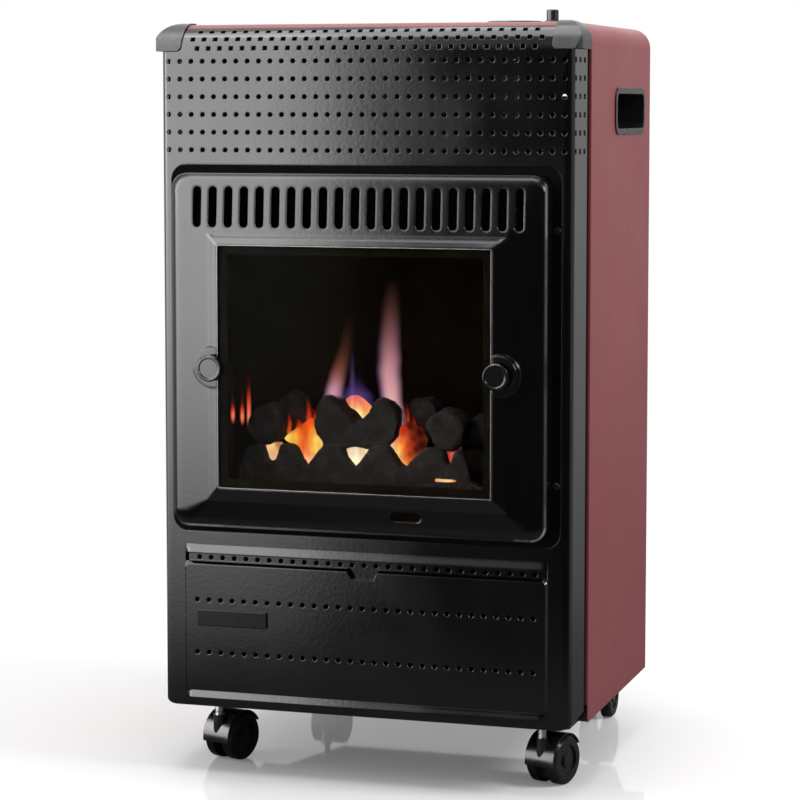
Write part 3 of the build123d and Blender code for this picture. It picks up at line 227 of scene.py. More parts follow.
bright_bead = metal(
    "bright_bead", (0.15, 0.15, 0.15), (0.22, 0.22, 0.22), 0.16, 0.26, (60, 60, 60)
)
brass = metal("brass", (0.55, 0.36, 0.12), (0.7, 0.5, 0.2), 0.22, 0.34, (400, 60, 400))
aged_brass = metal(
    "aged_brass", (0.07, 0.055, 0.035), (0.12, 0.09, 0.055), 0.4, 0.55, (90, 90, 90)
)


def caster_nodes(*endings):
    """The casters' nodes whose names have one of these endings."""
    return [name for name in nodes if name.startswith("caster_") and name.endswith(endings)]


dress(
    black_enamel, "front_panel", "base_plate", "rear_cover", "rear_top_panel",
    "glass_knob_left", "glass_knob_right",
)
dress(surround_enamel, "fire_surround")
dress(burgundy_enamel, "cabinet_shell")
dress(cap_plastic, "corner_cap_left", "corner_cap_right")
dress(
    black_plastic, "side_handle_left", "side_handle_right", "knob_well", "control_knob",
    "igniter_body", "igniter_button", "front_screws",
)
dress(badge_black, "badge_plate")
dress(nylon, *caster_nodes("_hood", "_wheel_left", "_wheel_right"))
dress(
    zinc, "knob_washer", "valve_spindle", "rear_screws", "igniter_nut",
    *caster_nodes("_stem", "_axle"),
)
dress(burnt_steel, "burner", "pilot_burner", "igniter_electrode", "thermocouple")
dress(aged_brass, "gas_valve")
dress(brass, "inlet_nozzle", "burner_pipe", "pilot_pipe")
# the heat shield's near-black is painted shade, not its own galvanised grey
dress(soot_and_shade_steel, "firebox", "heat_shield")


def glass_material():
    """Heat-resistant glass: clear, faintly smoked, mirrors a little more at a shallow angle."""
    s = Shader("fire_glass")
    clear = s.add("ShaderNodeBsdfTransparent")
    clear.inputs["Color"].default_value = (0.92, 0.91, 0.9, 1)
    mirror = s.add("ShaderNodeBsdfGlossy")
    mirror.inputs["Roughness"].default_value = 0.02
    facing = s.add("ShaderNodeFresnel")
    facing.inputs["IOR"].default_value = 1.35
    mix = s.add("ShaderNodeMixShader")
    smudge = s.add("ShaderNodeBump")
    smudge.inputs["Strength"].default_value = 0.02
    smudge.inputs["Distance"].default_value = 0.0003
    s.link(s.noise(8.0), smudge.inputs["Height"])
    s.link(smudge.outputs["Normal"], mirror.inputs["Normal"])
    faint = s.add("ShaderNodeMath", operation="MULTIPLY")
    faint.inputs[1].default_value = 0.025
    s.link(facing.outputs["Fac"], faint.inputs[0])
    s.link(faint.outputs[0], mix.inputs["Fac"])
    s.link(clear.outputs["BSDF"], mix.inputs[1])
    s.link(mirror.outputs["BSDF"], mix.inputs[2])
    s.link(mix.outputs["Shader"], s.output.inputs["Surface"])
    return s.material


dress(glass_material(), "window_glass")


def coal_material():
    """Ceramic-fibre coal: sooty black crust with dusty grey-brown crests."""
    s = Shader("coal")
    crust = s.noise(90.0, 6.0)
    s.link(
        s.ramp(crust, [(0.35, (0.006, 0.005, 0.005)), (0.6, (0.02, 0.017, 0.016)),
                       (0.8, (0.06, 0.05, 0.045))]),
        s.principled.inputs["Base Color"],
    )
    s.relief([(crust, 0.7, 0.002), (s.cells(420.0), 0.4, 0.0006)])
    s.set(Roughness=0.92)
    return s.material


coal_black = coal_material()


# ---------------------------------------------------------------- mesh helpers
def at(x, depth, z):
    """Model point in metres from millimetres across, behind the flat front, and up."""
    return Vector((x / 1000, front_y + depth / 1000, z / 1000))


def mesh_of(bm, name):
    """Mesh from a bmesh, its faces turned outwards."""
    bmesh.ops.recalc_face_normals(bm, faces=bm.faces)
    mesh = bpy.data.meshes.new(name)
    bm.to_mesh(mesh)
    bm.free()
    return mesh


def placed(name, data):
    """New object in the scene from a mesh, a lamp or a camera."""
    obj = bpy.data.objects.new(name, data)
    bpy.context.collection.objects.link(obj)
    return obj


def shade_smooth(mesh):
    mesh.polygons.foreach_set("use_smooth", [True] * len(mesh.polygons))


def coat(obj, material):
    """Gives a piece its one material."""
    obj.data.materials.clear()
    obj.data.materials.append(material)


def bridge(bm, first, second):
    """Faces between two closed loops of vertices."""
    for i in range(len(first)):
        j = (i + 1) % len(first)
        bm.faces.new((first[i], first[j], second[j], second[i]))


def loft(bm, loops):
    """Closed solid through loops of vertices, capped at both ends."""
    for first, second in zip(loops, loops[1:]):
        bridge(bm, first, second)
    bm.faces.new(loops[0])
    bm.faces.new(list(reversed(loops[-1])))


# ---------------------------------------------------------------- the fire
LUMP_SIZE, GRAIN_SIZE = 17, 4.2  # millimetres between swellings, and between grains


def oval(x, z, half_wide, half_high, seed, points=11):
    """Uneven pebble outline, in millimetres."""
    rng = random.Random(seed)
    outline = []
    for i in range(points):
        angle = 2 * math.pi * i / points
        swell = rng.uniform(0.92, 1.06)
        outline.append(
            (x + half_wide * swell * math.cos(angle), z + half_high * swell * math.sin(angle))
        )
    return outline


def prism(bm, outline, near, far):
    """Closed solid with the given front outline, between two depths."""
    front = [bm.verts.new(at(x, near, z)) for x, z in outline]
    back = [bm.verts.new(at(x, far, z)) for x, z in outline]
    bm.faces.new(front)
    bm.faces.new(list(reversed(back)))
    for i in range(len(outline)):
        j = (i + 1) % len(outline)
        bm.faces.new((front[j], front[i], back[i], back[j]))


def moulded(name, solids, voxel, rounding, lump, grain, seed, low_z=None):
    """Prisms fused by a voxel remesh, rounded, and roughened by two sizes of noise.

    All lengths are in millimetres, and no point lies below low_z.
    """
    bm = bmesh.new()
    for outline, near, far in solids:
        prism(bm, outline, near, far)
    obj = placed(name, mesh_of(bm, name))
    remesh = obj.modifiers.new("remesh", "REMESH")
    remesh.mode = "VOXEL"
    remesh.voxel_size = voxel / 1000
    smooth = obj.modifiers.new("smooth", "SMOOTH")
    smooth.factor = 0.5
    smooth.iterations = rounding
    graph = bpy.context.evaluated_depsgraph_get()
    final = bpy.data.meshes.new_from_object(obj.evaluated_get(graph))
    obj.modifiers.clear()
    obj.data = final
    shift = Vector((seed * 1.7, seed * 0.9, seed * 2.3))  # each piece has its own noise
    normals = [v.normal.copy() for v in final.vertices]
    for vertex, normal in zip(final.vertices, normals):
        place = vertex.co * 1000
        swell = lump * noise.noise(place / LUMP_SIZE + shift)
        swell += grain * noise.noise(place / GRAIN_SIZE + shift)
        vertex.co += normal * swell / 1000
        if low_z is not None:
            vertex.co.z = max(vertex.co.z, low_z / 1000)
    shade_smooth(final)
    final.update()
    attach(obj, body_name)
    return obj


hearth = rail_low.z * 1000  # the rail stands on the floor of the firebox
burner_top = burner_high.z * 1000
coal_step = 325.0  # where the upper coals rest on the lower ones

# front of the rail from left to right: rounded lumps with V openings between them
rail_outline = (
    (-130, hearth), (-130, 302), (-128, 318), (-121, 326.5), (-109.5, 328), (-107.5, 326),
    (-105, 313), (-99.5, 310), (-94, 313), (-91, 326), (-89, 328), (-83, 328), (-76, 327),
    (-71, 322), (-67.5, 313), (-64.5, 308), (-62.5, 306.5), (-60, 308), (-54, 316), (-49, 324),
    (-46, 328.5), (-43, 329.5), (-28.5, 329.5), (-26, 327), (-22, 317.5), (-17, 310.5),
    (-13.2, 307.5), (-9.5, 310.5), (-3.8, 317.5), (0.8, 327), (3, 329.5), (14, 330), (20, 330),
    (24, 325.5), (29, 318.5), (33.5, 312), (36.7, 309), (40, 312), (46, 319.5), (52, 325.5),
    (57, 329), (62, 330), (73, 329), (76.5, 326), (79.5, 316), (81.8, 310), (84, 316),
    (87.5, 326), (90, 329), (96, 326), (103, 312), (104.5, 299), (112, 293), (130, 292),
    (130, hearth),
)
# the large two-horned lump in the middle
centre_mass = (
    (-48, 326), (-54, 335), (-58, 350), (-56, 365), (-50, 373), (-44, 375), (-36.5, 372),
    (-29, 363), (-16, 349), (-3, 362.5), (4, 370), (10, 373), (20, 372), (27, 363), (29, 352),
    (25, 339), (18, 329), (12, 325), (-1, 326), (-14, 327), (-27, 326), (-34, 324),
)
rail = moulded("ceramic_rail", [(rail_outline, 12.5, 26.5)], 1.5, 7, 1.6, 0.7, 1, hearth)
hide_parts("fire_rail")

lower_coals = [
    (oval(x, (burner_top + coal_step) / 2, wide, (coal_step - burner_top) / 2 + 1.5, i), 42, 74)
    for i, (x, wide) in enumerate(
        ((-113, 16), (-82, 17), (-45, 19), (-8, 20), (28, 17), (62, 18), (98, 18))
    )
]
upper_coals = [
    (oval(-107, 345.5, 18.5, 20.5, 21), 17, 48),
    (oval(-90, 352, 17, 24, 22), 46, 72),
    (centre_mass, 23, 54),
    (oval(44, 352, 17, 23, 23), 46, 72),
    (oval(77, 346, 18.5, 20.5, 24), 18, 50),
    (oval(-22, 345, 22, 17, 25), 64, 74),
    (oval(-66, 338, 12, 13, 26), 56, 74),
    (oval(103, 344, 13, 16, 27), 48, 72),
]
coal_bed = moulded(
    "coal_bed", lower_coals + upper_coals, 1.7, 9, 3.2, 0.8, 5, burner_top + 0.4
)
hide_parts("coals")
for piece in (rail, coal_bed):
    coat(piece, coal_black)


def linear(color):
    """Display colour, 0 to 255, as linear light, by the sRGB curve."""
    return [(c / 255 / 12.92) if c < 11 else ((c / 255 + 0.055) / 1.055) ** 2.4 for c in color]


def glow_material(name, strength, see_through=False):
    """Light given off in the colours stored on the mesh; flames are thin where their alpha is."""
    s = Shader(name)
    colors = s.add("ShaderNodeAttribute", attribute_name="glow")
    s.link(colors.outputs["Color"], s.principled.inputs["Emission Color"])
    if see_through:
        s.link(colors.outputs["Alpha"], s.principled.inputs["Alpha"])
    s.set(
        Base_Color=(0.0, 0.0, 0.0, 1), Emission_Strength=strength, Roughness=1.0,
        Specular_IOR_Level=0.0,
    )
    return s.material


ember_glow = glow_material("ember_glow", 1.25)
flame_glow = glow_material("flame_glow", 1.12, see_through=True)


def paint(mesh, colors):
    """Stores one glow colour on each vertex."""
    attribute = mesh.attributes.new("glow", "FLOAT_COLOR", "POINT")
    for item, color in zip(attribute.data, colors):
        item.color = color


EMBER_THICKNESS = 5  # millimetres


def ember(name, outline, depth, stops, seed):
    """Glowing ceramic behind an opening, its heat spread between (x, z, colour) stops."""
    obj = moulded(name, [(outline, depth, depth + EMBER_THICKNESS)], 1.2, 3, 0.8, 0.4, seed)

    def heat(place):
        total, mixed = 0.0, [0.0, 0.0, 0.0]
        streak = 0.9 + 0.22 * noise.noise(Vector((place.x / 3.5, seed, place.z / 14)))
        for x, z, color in stops:
            # the nearest stops count most; the 9 rounds off their peaks
            weight = 1 / (9 + (place.x - x) ** 2 + (place.z - z) ** 2) ** 1.6
            total += weight
            mixed = [m + weight * c for m, c in zip(mixed, linear(color))]
        return [m / total * min(1.1, streak) for m in mixed] + [1.0]

    paint(obj.data, [heat(vertex.co * 1000) for vertex in obj.data.vertices])
    coat(obj, ember_glow)


ember(
    "ember_left_small", ((-118, 304), (-94, 304), (-94, 327), (-118, 327)), 31,
    [(-113, 325, (190, 110, 60)), (-108, 323, (255, 215, 140)), (-102, 323, (255, 205, 135)),
     (-106, 313, (250, 195, 155)), (-98, 325, (160, 90, 50))], 31,
)
ember(
    "ember_left", ((-92, 331), (-80, 322), (-72, 304), (-61, 302), (-49, 316), (-49, 333),
                   (-57, 346), (-63, 352), (-72, 346), (-84, 339)), 31,
    [(-86, 333.5, (255, 220, 95)), (-80, 334, (255, 190, 70)), (-75, 337, (250, 120, 40)),
     (-69.5, 337, (225, 62, 18)), (-69, 330, (232, 72, 22)), (-70, 324, (238, 96, 40)),
     (-68, 318, (242, 120, 62)), (-66, 343, (232, 74, 22)), (-63.5, 330, (255, 160, 60)),
     (-58, 331, (255, 222, 105)), (-60, 322, (255, 205, 100)), (-67, 311, (255, 190, 150)),
     (-61, 341, (255, 160, 50)), (-65, 349, (235, 75, 25)), (-74, 345, (190, 40, 15)),
     (-84, 341, (120, 25, 10))], 32,
)
ember(
    "ember_centre", ((-40, 302), (2, 302), (2, 336), (-40, 336)), 31,
    [(-29, 325, (255, 240, 190)), (-18, 324, (255, 252, 220)), (-7, 325, (255, 243, 190)),
     (-19, 311, (255, 250, 215)), (-27, 328.5, (215, 90, 30)), (-9, 328.5, (215, 95, 35)),
     (-18, 329, (200, 80, 30)), (-18, 333, (90, 24, 10))], 33,
)
ember(
    "ember_between_horns", ((-45, 357), (-40, 366), (-32, 372), (-25, 373.5), (-18, 370),
                            (-10, 362), (-8, 356), (-12, 342), (-40, 342)), 57,
    [(-26, 352, (255, 240, 170)), (-31, 355, (255, 232, 150)), (-21, 355, (255, 232, 150)),
     (-26, 357, (255, 228, 150)), (-27, 364, (250, 160, 110)),
     (-34, 366, (232, 110, 105)), (-26, 370, (235, 105, 110)), (-19, 366, (240, 120, 95)),
     (-38, 361, (235, 130, 110)), (-16, 360, (250, 150, 90))], 34,
)
ember(
    "ember_right", ((9, 333), (19, 316), (28, 304), (40, 304), (51, 320), (55, 336), (45, 348),
                    (36, 353), (28, 347), (21, 339)), 31,
    [(16, 330, (236, 178, 176)), (20, 325, (250, 205, 165)), (24, 321, (255, 225, 130)),
     (27, 326, (255, 190, 80)), (29.5, 313, (255, 190, 110)), (30, 333, (245, 110, 40)),
     (33, 325, (240, 86, 28)), (34, 316, (235, 90, 32)), (32, 343, (200, 44, 20)),
     (38, 329, (170, 26, 12)), (38, 321, (130, 22, 10)), (42, 336, (96, 13, 8)),
     (44, 326, (44, 8, 5)), (50, 330, (26, 6, 4)), (48, 342, (40, 7, 5)),
     (38, 348, (60, 9, 6))], 35,
)
ember(
    "ember_right_small", ((67, 305), (89, 305), (89, 329), (67, 329)), 31,
    [(73, 326, (70, 11, 8)), (77, 319, (190, 42, 38)), (80.5, 323, (250, 110, 90)),
     (84, 327, (110, 18, 12)), (76.5, 313, (245, 110, 85)), (78, 327, (50, 8, 6))], 36,
)
ember(
    "ember_slit", ((69, 297.8), (90, 298.2), (90, 301.0), (69, 300.7)), 10.5,
    [(70, 299, (255, 150, 70)), (76, 299, (255, 225, 170)), (84, 299.3, (255, 215, 150)),
     (89, 299.5, (230, 90, 35))], 37,
)


FLAME_ROWS, FLAME_SIDES = 40, 20
FLAME_SMOOTHING = 6  # passes that take the corners out of the line of stations


def flame(name, spine, seed, flat=0.35):
    """Closed tongue of flame along (x, depth, z, half width, core, edge, density) stations."""
    stations = []
    for row in range(FLAME_ROWS + 1):
        share = row / FLAME_ROWS * (len(spine) - 1)
        i = min(int(share), len(spine) - 2)
        ends = [[*s[:4], *linear(s[4]), *linear(s[5]), s[6]] for s in (spine[i], spine[i + 1])]
        stations.append([a + (b - a) * (share - i) for a, b in zip(*ends)])
    for _ in range(FLAME_SMOOTHING):
        stations[1:-1] = [
            [(a + 2 * b + c) / 4 for a, b, c in zip(*three)]
            for three in zip(stations, stations[1:], stations[2:])
        ]
    bm = bmesh.new()
    colors = []
    rings = []
    for x, depth, z, half, *tints, density in stations:
        core, edge = tints[:3], tints[3:]
        sway = 0.05 * half * noise.noise(Vector((seed, z / 14, 0)))
        ring = []
        for k in range(FLAME_SIDES):
            angle = 2 * math.pi * k / FLAME_SIDES
            across = math.cos(angle)
            place = at(x + sway + half * across, depth + flat * half * math.sin(angle), z)
            ring.append(bm.verts.new(place))
            # the left side takes the edge's colour, and thins out, sooner than the right
            lick = 0.94 + 0.2 * noise.noise(Vector((seed + across * 2.2, z / 30, 3)))
            spread = min(1.0, across * across * (1.5 if across < 0 else 0.9))
            tint = [c + (e - c) * spread for c, e in zip(core, edge)]
            thin = max(0.0, 1 - across * across) ** (2.6 if across < 0 else 1.8)
            colors.append(tint + [max(0.0, min(1.0, density * thin * lick))])
        rings.append(ring)
    for lower, upper in zip(rings, rings[1:]):
        bridge(bm, lower, upper)
    bm.faces.new(list(reversed(rings[0])))
    bm.faces.new(rings[-1])
    mesh = mesh_of(bm, name)
    paint(mesh, colors)
    shade_smooth(mesh)
    obj = placed(name, mesh)
    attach(obj, body_name)
    coat(obj, flame_glow)


violet, mauve, rose = (88, 66, 150), (112, 80, 132), (214, 150, 165)
scarlet, brick, maroon = (232, 66, 24), (150, 28, 12), (84, 14, 8)
flame(
    "flame_tall",
    [(18, 36, 325, 5, (240, 190, 195), rose, 0.75), (22, 37, 332, 5, (225, 165, 180), mauve, 0.7),
     (26, 39, 342, 5, (190, 135, 160), mauve, 0.65),
     (25, 41, 352, 8, (215, 160, 170), mauve, 0.85),
     (16.5, 42, 366, 12.5, (242, 186, 178), mauve, 0.9),
     (13.5, 43, 384, 14, (228, 168, 174), mauve, 0.88),
     (12.5, 43, 402, 14.5, (206, 146, 156), mauve, 0.84),
     (12.5, 44, 420, 14, (168, 114, 122), (92, 62, 104), 0.78),
     (13, 45, 440, 13, (118, 76, 74), (66, 40, 64), 0.68),
     (14, 45, 464, 12, (70, 44, 38), (36, 22, 26), 0.5),
     (15, 45, 492, 9, (36, 22, 18), (16, 10, 8), 0.0)], 41,
)
flame(
    "flame_left",
    [(-47, 45, 360, 10, (196, 150, 206), violet, 0.6),
     (-46, 45, 370, 11.5, (206, 156, 190), mauve, 0.85),
     (-44.5, 46, 380, 11.5, (206, 150, 166), mauve, 0.88),
     (-42, 46, 391, 11, (156, 98, 92), (96, 54, 44), 0.8),
     (-39, 47, 403, 11, (108, 62, 48), (66, 36, 24), 0.66),
     (-35, 48, 417, 10, (74, 42, 30), (44, 26, 16), 0.5),
     (-31, 48, 436, 9, (48, 28, 20), (24, 15, 10), 0.3),
     (-28, 48, 462, 6, (30, 18, 14), (14, 9, 6), 0.0)], 42,
)
flame(
    "flame_wisp",
    [(-33, 68, 362, 5, (110, 84, 160), violet, 0.5),
     (-33, 68, 380, 4, (96, 72, 130), violet, 0.42),
     (-33, 68, 400, 3.6, (66, 50, 84), (34, 26, 60), 0.3),
     (-33, 68, 424, 3, (40, 30, 40), (18, 14, 26), 0.0)], 43,
)
flame(
    "flame_crown",
    [(-30, 70, 360, 22, (120, 84, 160), violet, 0.5),
     (-30, 70, 373, 20, (104, 76, 150), violet, 0.46),
     (-30, 70, 382, 12, (70, 52, 110), (40, 30, 80), 0.26),
     (-30, 70, 394, 5, (40, 30, 60), (20, 16, 40), 0.0)], 44,
)
# small licks over the embers: x, depth, low, high, half width, density
licks = (
    (-68.5, 38, 336, 373, 5, 0.8), (-78, 37, 338, 352, 6, 0.7), (-88, 36, 336, 358, 3.5, 0.5),
    (-62, 38, 344, 362, 5, 0.55), (33, 38, 334, 372, 3.6, 0.62), (39, 39, 330, 360, 5, 0.55),
    (46, 40, 330, 350, 5, 0.35),
)
for i, (x, depth, low, high, half, density) in enumerate(licks):
    flame(
        f"lick_{i}",
        [(x, depth, low, half, (250, 112, 30), scarlet, density),
         (x + 1, depth, low + 0.4 * (high - low), 0.85 * half, scarlet, brick, density),
         (x + 0.5, depth, low + 0.75 * (high - low), 0.6 * half, brick, maroon, 0.7 * density),
         (x - 1.5, depth, high, 0.3 * half, maroon, maroon, 0.0)], 50 + i,
    )
pilot_depth = 60
for i, (x, low, high) in enumerate(((-155.8, 343, 361), (-145.8, 342, 362), (-138.8, 341, 379))):
    flame(
        f"pilot_flame_{i}",
        [(x, pilot_depth, low - 3, 2.2, brick, maroon, 0.2),
         (x, pilot_depth, low + 5, 3.0, (246, 150, 110), scarlet, 0.85),
         (x, pilot_depth, low + 0.62 * (high - low), 3.0, scarlet, brick, 0.75),
         (x, pilot_depth, high, 2.4, maroon, maroon, 0.35),
         (x, pilot_depth, high + 14, 1.6, maroon, maroon, 0.0)], 60 + i,
    )


# ---------------------------------------------------------------- trim
def trim(name, mesh, material):
    """New piece on the heater's body from a mesh."""
    obj = placed(name, mesh)
    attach(obj, body_name)
    coat(obj, material)


def rounded(half_wide, low, high, radius, centre=0.0, steps=8):
    """Rounded rectangle as (x, z) points in millimetres, anticlockwise from the right side."""
    points = []
    for sx, sz, start in ((1, 1, 0), (-1, 1, 90), (-1, -1, 180), (1, -1, 270)):
        for step in range(steps + 1):
            angle = math.radians(start + 90 * step / steps)
            z_corner = high - radius if sz > 0 else low + radius
            points.append((centre + sx * (half_wide - radius) + radius * math.cos(angle),
                           z_corner + radius * math.sin(angle)))
    return points


def ring_mesh(name, outlines):
    """Closed ring through (outline, depth) loops, the last joined to the first."""
    bm = bmesh.new()
    loops = [[bm.verts.new(at(x, depth, z)) for x, z in outline] for outline, depth in outlines]
    for first, second in zip(loops, loops[1:] + loops[:1]):
        bridge(bm, first, second)
    return mesh_of(bm, name)


def flat_strip(name, outside, inside, back, front, material):
    """Strip of an even thickness between two outlines."""
    corners = [(outside, back), (outside, front), (inside, front), (inside, back)]
    trim(name, ring_mesh(name, corners), material)


# matt black strip in the groove between the surround and the front panel: painted shade for the
# groove's dark line
flat_strip(
    "surround_groove_shade", rounded(194.7, 241.3, 599.7, 14.7), rounded(187.3, 248.7, 592.3, 14.0),
    1.4, 0.7, rubber_and_shade_black,
)
# woven tape between the glass and its ledge
flat_strip(
    "glass_tape", rounded(135.5, 290.2, 522.8, 1.5), rounded(127.4, 298.2, 514.8, 3.0),
    -27.45, -27.65, seal_brown,
)
# bright bead round the glass, in four loops: distance from its middle line, and depth
bead_loops = [
    (rounded(136 + offset, 289.5 - offset, 523.5 + offset, 1.5 + offset), depth)
    for offset, depth in ((0.5, -32.0), (0.25, -32.4), (-0.2, -32.4), (-0.5, -32.0))
]
trim("glass_bead", ring_mesh("glass_bead", bead_loops), bright_bead)


def pressed_lip(name, half_wide, root, profile):
    """Pressed bead along the front, flattening out at its ends; profile is (z, proud)."""
    bm = bmesh.new()
    sunk = root + 0.6  # the back of the bead, inside the sheet
    shares = [0.0, 0.35, 0.72, 0.93, 1.0]
    stations = [(-half_wide + 1.6 * i, s) for i, s in enumerate(shares)]
    stations += [(-x, s) for x, s in reversed(stations)]
    loops = []
    for x, share in stations:
        loop = [bm.verts.new(at(x, root - share * proud, z)) for z, proud in profile]
        loop += [bm.verts.new(at(x, sunk, z)) for z in (profile[-1][0], profile[0][0])]
        loops.append(loop)
    loft(bm, loops)
    trim(name, mesh_of(bm, name), black_enamel)


pressed_lip(
    "drawer_lip_top", 182.5, 0.0,
    [(228.2, 0.05), (227.2, 0.35), (225.6, 1.0), (221.6, 3.1), (220.4, 3.5), (219.6, 3.3),
     (219.2, 2.6)],
)
pressed_lip(
    "drawer_lip_bottom", 181.5, -0.4,
    [(83.0, 2.7), (82.0, 2.9), (80.6, 3.2), (77.4, 4.6), (76.4, 4.8), (75.7, 4.5), (75.4, 3.8)],
)

# pressed louvre hoods over the slots of the rear top panel, and the hose's grommet in one slot
panel_back = (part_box("rear_top_panel")[1].y - front_y) * 1000
panel_clear = 0.1  # between the panel and what sits on it
slot_columns = (-112.5, -37.5, 37.5, 112.5)
slot_rows = (630.0, 650.0, 670.0, 690.0)
hose_slot = (slot_columns[3], slot_rows[2])


def louvre_hood(bm, x_mid, z_mid):
    """Quarter-round scoop, open below, over one slot."""
    half, reach, wall, steps = 31.5, 8.0, 0.9, 7
    top, bottom = z_mid + 7.4, z_mid - 8.4
    foot = panel_back + panel_clear
    # each end swells up from the panel: distance from the end, share of the reach
    swell = ((0.0, 0.0), (1.4, 0.55), (4, 0.86), (8, 1.0))
    stations = [(-half + inset, share) for inset, share in swell]
    stations += [(half - inset, share) for inset, share in reversed(swell)]
    loops = []
    for end, share in stations:
        outer, inner = [], []
        for step in range(steps + 1):
            angle = math.pi / 2 * step / steps
            z = top - (top - bottom) * (1 - math.cos(angle))
            out = reach * share * math.sin(angle)
            outer.append(bm.verts.new(at(x_mid + end, foot + wall + out, z)))
            inner.append(bm.verts.new(at(x_mid + end, foot + out, z)))
        loops.append(outer + list(reversed(inner)))
    loft(bm, loops)


hoods = bmesh.new()
for x_mid in slot_columns:
    for z_mid in slot_rows:
        if (x_mid, z_mid) != hose_slot:
            louvre_hood(hoods, x_mid, z_mid)
hood_mesh = mesh_of(hoods, "vent_hoods")
shade_smooth(hood_mesh)
trim("vent_hoods", hood_mesh, black_enamel)

# the grommet's plate fills its slot's place, and its bore and lip are drawn from the plate
hose_x, hose_z = 121.0, hose_slot[1]
bore_radius, lip_scale, squash = 6.0, 1.2, 0.4
plate = rounded(32.5, 662.2, 677.8, 7.0, centre=hose_slot[0])
turns = [math.atan2(z - hose_z, (x - hose_slot[0]) * squash) for x, z in plate]
bore = [(hose_x + bore_radius * math.cos(a), hose_z + bore_radius * math.sin(a)) for a in turns]
lip = [(hose_x + (x - hose_x) * lip_scale, hose_z + (z - hose_z) * lip_scale) for x, z in bore]
grommet_loops = [
    (plate, panel_back + panel_clear), (plate, panel_back + 1.6), (lip, panel_back + 1.6),
    (lip, panel_back + 3.0), (bore, panel_back + 3.0), (bore, panel_back + panel_clear),
]
trim("hose_grommet", ring_mesh("hose_grommet", grommet_loops), rubber_and_shade_black)


# ---------------------------------------------------------------- stage, lights and camera
def smooth_step(tree, source, low, high):
    """Node that rises smoothly from 0 at low to 1 at high; low may be the larger one."""
    node = tree.nodes.new("ShaderNodeMapRange")
    node.interpolation_type = "SMOOTHSTEP"
    node.inputs["From Min"].default_value = low
    node.inputs["From Max"].default_value = high
    tree.links.new(source, node.inputs["Value"])
    return node.outputs["Result"]


# brightness of the parts of the studio that reflections see
LEFT_BOX_LEVEL = 7.5
CEILING_LEVEL = 1.6
RIGHT_WALL_LEVEL = 0.5
CARD_LEVEL = 1.0
ROOM_LEVEL = 0.03
# what dull surfaces receive from every side
EVEN_LEVEL = 0.5


def make_world():
    """White to the camera; reflections see a studio, bright to the left and overhead."""
    world = bpy.data.worlds.new("studio")
    bpy.context.scene.world = world
    world.use_nodes = True
    tree = world.node_tree
    tree.nodes.clear()

    def add(kind, **settings):
        node = tree.nodes.new(kind)
        for key, value in settings.items():
            setattr(node, key, value)
        return node

    def math_node(operation, first, second):
        node = add("ShaderNodeMath", operation=operation)
        for socket, value in zip(node.inputs, (first, second)):
            if isinstance(value, float):
                socket.default_value = value
            else:
                tree.links.new(value, socket)
        return node.outputs[0]

    def product(first, *others):
        for other in others:
            first = math_node("MULTIPLY", first, other)
        return first

    def brightest(first, *others):
        for other in others:
            first = math_node("MAXIMUM", first, other)
        return first

    def band(source, low, high, strength=1.0):
        return math_node("MULTIPLY", smooth_step(tree, source, low, high), strength)

    def background():
        node = add("ShaderNodeBackground")
        node.inputs["Color"].default_value = (1, 1, 1, 1)
        return node

    # the direction looked in: x to the right, y away from the front, z up
    split = add("ShaderNodeSeparateXYZ")
    tree.links.new(add("ShaderNodeTexCoord").outputs["Generated"], split.inputs[0])
    x, y, z = split.outputs
    # a tall soft box ahead and to the left, which the gloss front mirrors on its left half
    left_box = product(
        band(x, -0.3, -0.34, LEFT_BOX_LEVEL), band(y, 0.1, -0.2), band(z, -0.24, -0.04)
    )
    # the ceiling, brighter on the left
    above = product(
        band(z, 0.3, 0.75, CEILING_LEVEL), math_node("ADD", band(x, -0.24, -0.36, 0.7), 0.3)
    )
    # the white backdrop, dimmer on the right and low down
    side_fall = brightest(math_node("ADD", band(z, -0.22, 0.08), 0.35), band(x, 0.1, 0.0))
    backdrop_level = product(
        band(y, 0.0, 0.3), math_node("SUBTRACT", 1.0, band(x, 0.04, 0.16, 0.75)), side_fall
    )
    right_wall = product(band(x, 0.5, 0.8, RIGHT_WALL_LEVEL), band(y, -0.4, 0.0))
    # a narrow card behind on the right, mirrored by the front panel's folded side
    card = product(
        band(x, 0.38, 0.42, CARD_LEVEL), band(x, 0.62, 0.56), band(z, -0.36, 0.08),
        band(y, 0.5, 0.6),
    )
    room = brightest(left_box, right_wall, above, card, backdrop_level, ROOM_LEVEL)

    path = add("ShaderNodeLightPath")
    seen = brightest(path.outputs["Is Camera Ray"], path.outputs["Is Transmission Ray"])
    glossy = path.outputs["Is Glossy Ray"]
    even = product(math_node("SUBTRACT", 1.0, glossy), EVEN_LEVEL)
    backdrop, studio = background(), background()
    tree.links.new(math_node("ADD", product(room, glossy), even), studio.inputs["Strength"])
    mix = add("ShaderNodeMixShader")
    tree.links.new(seen, mix.inputs["Fac"])
    tree.links.new(studio.outputs[0], mix.inputs[1])
    tree.links.new(backdrop.outputs[0], mix.inputs[2])
    output = add("ShaderNodeOutputWorld")
    tree.links.new(mix.outputs[0], output.inputs["Surface"])


make_world()


def aim(obj, direction):
    """Turns a lamp or the camera to look along a direction, upright."""
    obj.rotation_euler = direction.to_track_quat("-Z", "Y").to_euler()


OBJECT_MIDDLE = Vector((0.0, 0.0, 0.38))


def soft_box(name, location, width, height, power):
    """Rectangular area lamp that faces the object."""
    lamp = bpy.data.lights.new(name, "AREA")
    lamp.shape = "RECTANGLE"
    lamp.size, lamp.size_y, lamp.energy = width, height, power
    obj = placed(name, lamp)
    obj.location = location
    aim(obj, OBJECT_MIDDLE - obj.location)


soft_box("key_right", (2.3, -0.2, 1.7), 0.9, 0.9, 42)
soft_box("fill_top", (-0.1, -0.2, 2.7), 1.8, 1.4, 34)
soft_box("left_edge", (-2.4, -1.2, 1.3), 0.6, 1.8, 14)

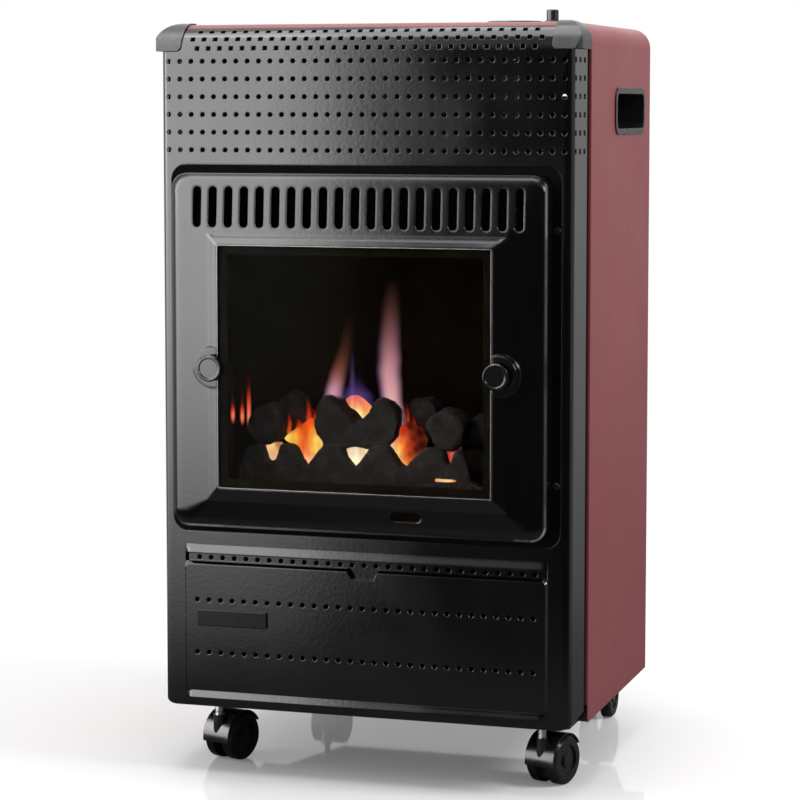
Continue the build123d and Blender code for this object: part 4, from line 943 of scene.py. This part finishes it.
FLOOR_HALF = 30.0  # metres
FLOOR_FADE = (0.5, 1.1)  # where it turns clear, in metres from the middle of the object
FLOOR_GLOW = 0.1  # light that it gives off by itself
FLOOR_WHITE = (0.84, 0.84, 0.84, 1)  # as the camera sees it
FLOOR_DIM = (0.17, 0.17, 0.17, 1)  # as the object mirrors it and is lit by it


def make_floor():
    """Pale gloss floor that fades out, so that the gloss front mirrors the dark room."""
    mesh = bpy.data.meshes.new("floor")
    a = FLOOR_HALF
    mesh.from_pydata([(-a, -a, 0), (a, -a, 0), (a, a, 0), (-a, a, 0)], [], [(0, 1, 2, 3)])
    floor = placed("floor", mesh)
    s = Shader("floor")
    s.link(s.spread(s.noise(3.0), 0.035, 0.06), s.principled.inputs["Roughness"])
    s.set(Base_Color=FLOOR_WHITE, IOR=1.12)

    def mixed(share, first, second):
        node = s.add("ShaderNodeMixShader")
        for source, socket in zip((share, first, second), node.inputs):
            s.link(source, socket)
        return node.outputs[0]

    glow = s.add("ShaderNodeEmission")
    glow.inputs["Strength"].default_value = FLOOR_GLOW
    seen = s.add("ShaderNodeAddShader")
    s.link(s.principled.outputs[0], seen.inputs[0])
    s.link(glow.outputs[0], seen.inputs[1])
    dim = s.add("ShaderNodeBsdfDiffuse")
    dim.inputs["Color"].default_value = FLOOR_DIM
    path = s.add("ShaderNodeLightPath")
    surface = mixed(path.outputs["Is Camera Ray"], dim.outputs[0], seen.outputs[0])
    distance = s.add("ShaderNodeVectorMath", operation="LENGTH")
    s.link(s.coords, distance.inputs[0])
    far = smooth_step(s.tree, distance.outputs["Value"], *FLOOR_FADE)
    clear = s.add("ShaderNodeBsdfTransparent")
    s.link(mixed(far, surface, clear.outputs[0]), s.output.inputs["Surface"])
    mesh.materials.append(s.material)


make_floor()


def make_camera():
    """The photograph's viewpoint: right of the front, the lens level with the hand grips."""
    data = bpy.data.cameras.new("camera")
    data.sensor_width = 36.0
    data.lens = 119.0
    data.shift_y = -0.08  # 64 of the photograph's 800 pixels
    # in the photograph's pixels: the eye level above its middle, the shift, the focal length
    eye_level, shift, focal = 293.0, 64.0, 2634.0
    pitch = math.atan((eye_level - shift) / focal)
    heading = math.asin(0.2974)  # 17.3 degrees to the right of straight ahead
    camera = placed("camera", data)
    camera.location = (0.783, -2.5775, 0.656)
    forward = Vector(
        (-math.sin(heading) * math.cos(pitch), math.cos(heading) * math.cos(pitch),
         -math.sin(pitch))
    )
    aim(camera, forward)
    bpy.context.scene.camera = camera


make_camera()
bpy.context.scene.view_settings.view_transform = "Standard"
